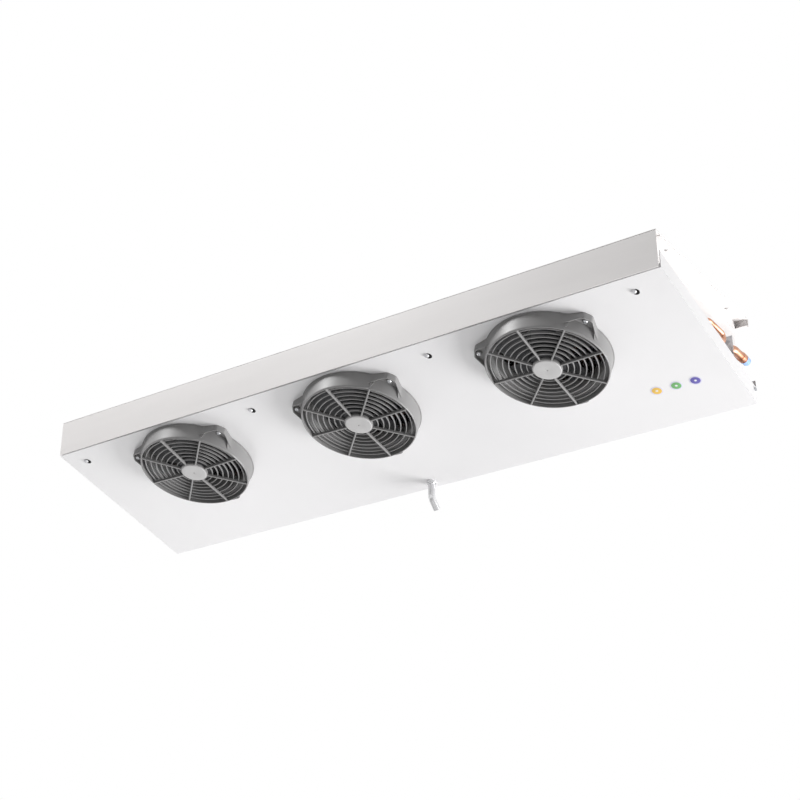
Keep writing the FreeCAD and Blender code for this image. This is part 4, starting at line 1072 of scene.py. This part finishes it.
# %% Liquid line
low, high = box_mm("liquid_line")
LIQUID_RADIUS = 4.76
liquid_x = high[0] - LIQUID_RADIUS
liquid_top = high[2] - LIQUID_RADIUS
liquid_low = low[2] + LIQUID_RADIUS
liquid_turn = high[1] - LIQUID_RADIUS
brass_low, brass_high = box_mm("distributor")
brass_x = (brass_low[0] + brass_high[0]) / 2.0
EXIT_Y = 19.0
liquid_run = np.array([
    (brass_x, brass_low[1], liquid_top), (brass_x, EXIT_Y, liquid_top),
    (liquid_x, EXIT_Y, liquid_top), (liquid_x, liquid_turn, liquid_top),
    (liquid_x, liquid_turn, liquid_low), (liquid_x, low[1], liquid_low),
])
hairpin = (liquid_top - liquid_low) / 2.0 - 0.05
liquid_bends = np.array([12.0, 12.0, hairpin, hairpin])
liquid_skin = skin(pipe(liquid_run * MM, liquid_bends * MM, LIQUID_RADIUS * MM))
piece("liquid_line_round", [liquid_skin], "casing", "copper", ("liquid_line",))

# %% Plug on the liquid line
low, high = box_mm("liquid_cap")
length, radius = high[1] - low[1], (high[0] - low[0]) / 2.0
plug_outline = [(0.0, 0.0), (radius, 0.0), (radius, length), (0.0, length)]
plug = along_y(plug_outline, [1.2, 0.6], 6, 40, [liquid_x, low[1], liquid_low])
piece("liquid_plug", [plug], "casing", "liquid_cap_plastic", ("liquid_cap",))

# %% [markdown]
# ## Drain outlet
#
# Water leaves the tray through a short bent tube with a collar. The tube's run goes straight down
# from the tray and then turns by forty-five degrees towards the room. The tube could be a solid
# rod with a dark end, but its end is open and can be looked into, so the skin turns back at the
# end and runs all the way up inside.

# %% Where the drain runs
low, high = box_mm("drain_spout")
DRAIN_RADIUS, DRAIN_BORE = 7.5, 6.0
DRAIN_BEND = 16.0
drain_points = node_points("drain_spout") / MM
collar = drain_points[np.abs(drain_points @ LIFT - tray_face / MM) < 8.0]
drain_y = (collar[:, 1].min() + collar[:, 1].max()) / 2.0
print("drain stands at y =", round(drain_y, 2), "and reaches", low.round(1), high.round(1))

# The tail slopes down by 45 degrees, and its rim touches the solid's lowest and furthest places.
diagonal = math.sqrt(0.5)
tail_way = np.array([0.0, diagonal, -diagonal])
rim_reach = DRAIN_RADIUS * diagonal
tail_end = np.array([0.0, high[1] - rim_reach, low[2] + rim_reach])
elbow = tail_end - tail_way * (tail_end[1] - drain_y) / tail_way[1]
face_z = (tray_face / MM - drain_y * LIFT[1]) / LIFT[2]
top = np.array([0.0, drain_y, face_z + 3.0])


# %% Drain
def drain_tube():
    """Rings along the run at the outer radius, then the same run backwards at the bore's radius."""
    outer = pipe([top, elbow, tail_end], DRAIN_BEND, DRAIN_RADIUS - 0.3, 44, 14, lip=0.03)
    bore_top = top - [0.0, 0.0, 1.0]
    bore = pipe([bore_top, elbow, tail_end], DRAIN_BEND, DRAIN_BORE, 44, 14, lip=0.01)
    return skin(np.concatenate([outer, bore[::-1]]) * MM)


def drain_collar():
    """A round collar under the tray; where it would rise past the sheet it ends at its face."""
    outline = [(0.0, -3.8), (9.4, -3.8), (10.6, -2.6), (10.6, 2.5), (0.0, 2.5)]
    grid = turned(rounded(outline, [0.6, 0.8, 0.3], 5), 56)
    grid = grid + [0.0, drain_y, face_z]
    over = grid @ LIFT - tray_face / MM
    grid[..., 2] -= np.clip(over, 0.0, None) / LIFT[2]
    return skin(grid * MM)


piece("drain_round", [drain_tube(), drain_collar()], "tray", "drain_metal", ("drain_spout",))

# %% [markdown]
# ## Three coloured discs on the tray
#
# Near the pipe end the tray carries three small plain discs, yellow, green and violet, each with
# a pale rim and a pale dot. They are thin stickers with an eased edge. One disc with a pattern in
# its material would do, but three flat layers, each a tenth of a millimetre prouder than the one
# below, keep their sharp edges however near one looks.

# %% Disc finishes
finish("disc_rim", srgb(222, 220, 236), srgb(214, 212, 230), (0.3, 0.4), bump=0.02)
finish("disc_dot", srgb(238, 238, 240), srgb(232, 232, 234), (0.3, 0.4), bump=0.02)
finish("disc_yellow", srgb(236, 196, 96), srgb(230, 184, 80), (0.3, 0.4), bump=0.02)
finish("disc_green", srgb(122, 184, 120), srgb(108, 172, 106), (0.3, 0.4), bump=0.02)
finish("disc_violet", srgb(112, 104, 182), srgb(98, 92, 170), (0.3, 0.4), bump=0.02)


# %% Discs
DISC_PLACES = {"yellow": 549.5, "green": 588.5, "violet": 626.5}
DISC_DOWN = 299.0


def flat_disc(radius, height):
    """A disc that stands proud of the tray by its height, with a round edge, in millimetres."""
    outline = [(0.0, -height), (radius, -height), (radius, 0.05)]
    return skin(turned(rounded(outline, [height * 0.6], 4), 64))


slope_start = float((node_points("tray_panel") @ SLOPE).min() / MM)
for colour, x in DISC_PLACES.items():
    spot = on_tray(np.array([x, slope_start + DISC_DOWN, 0.0]), LIFT * tray_face)
    rim = moved(flat_disc(12.0, 0.25), spot)
    field = moved(flat_disc(9.4, 0.35), spot)
    dot = moved(flat_disc(2.6, 0.45), spot)
    piece("disc_%s_rim" % colour, [rim], "tray", "disc_rim", ())
    piece("disc_%s_field" % colour, [field], "tray", "disc_%s" % colour, ())
    piece("disc_%s_dot" % colour, [dot], "tray", "disc_dot", ())
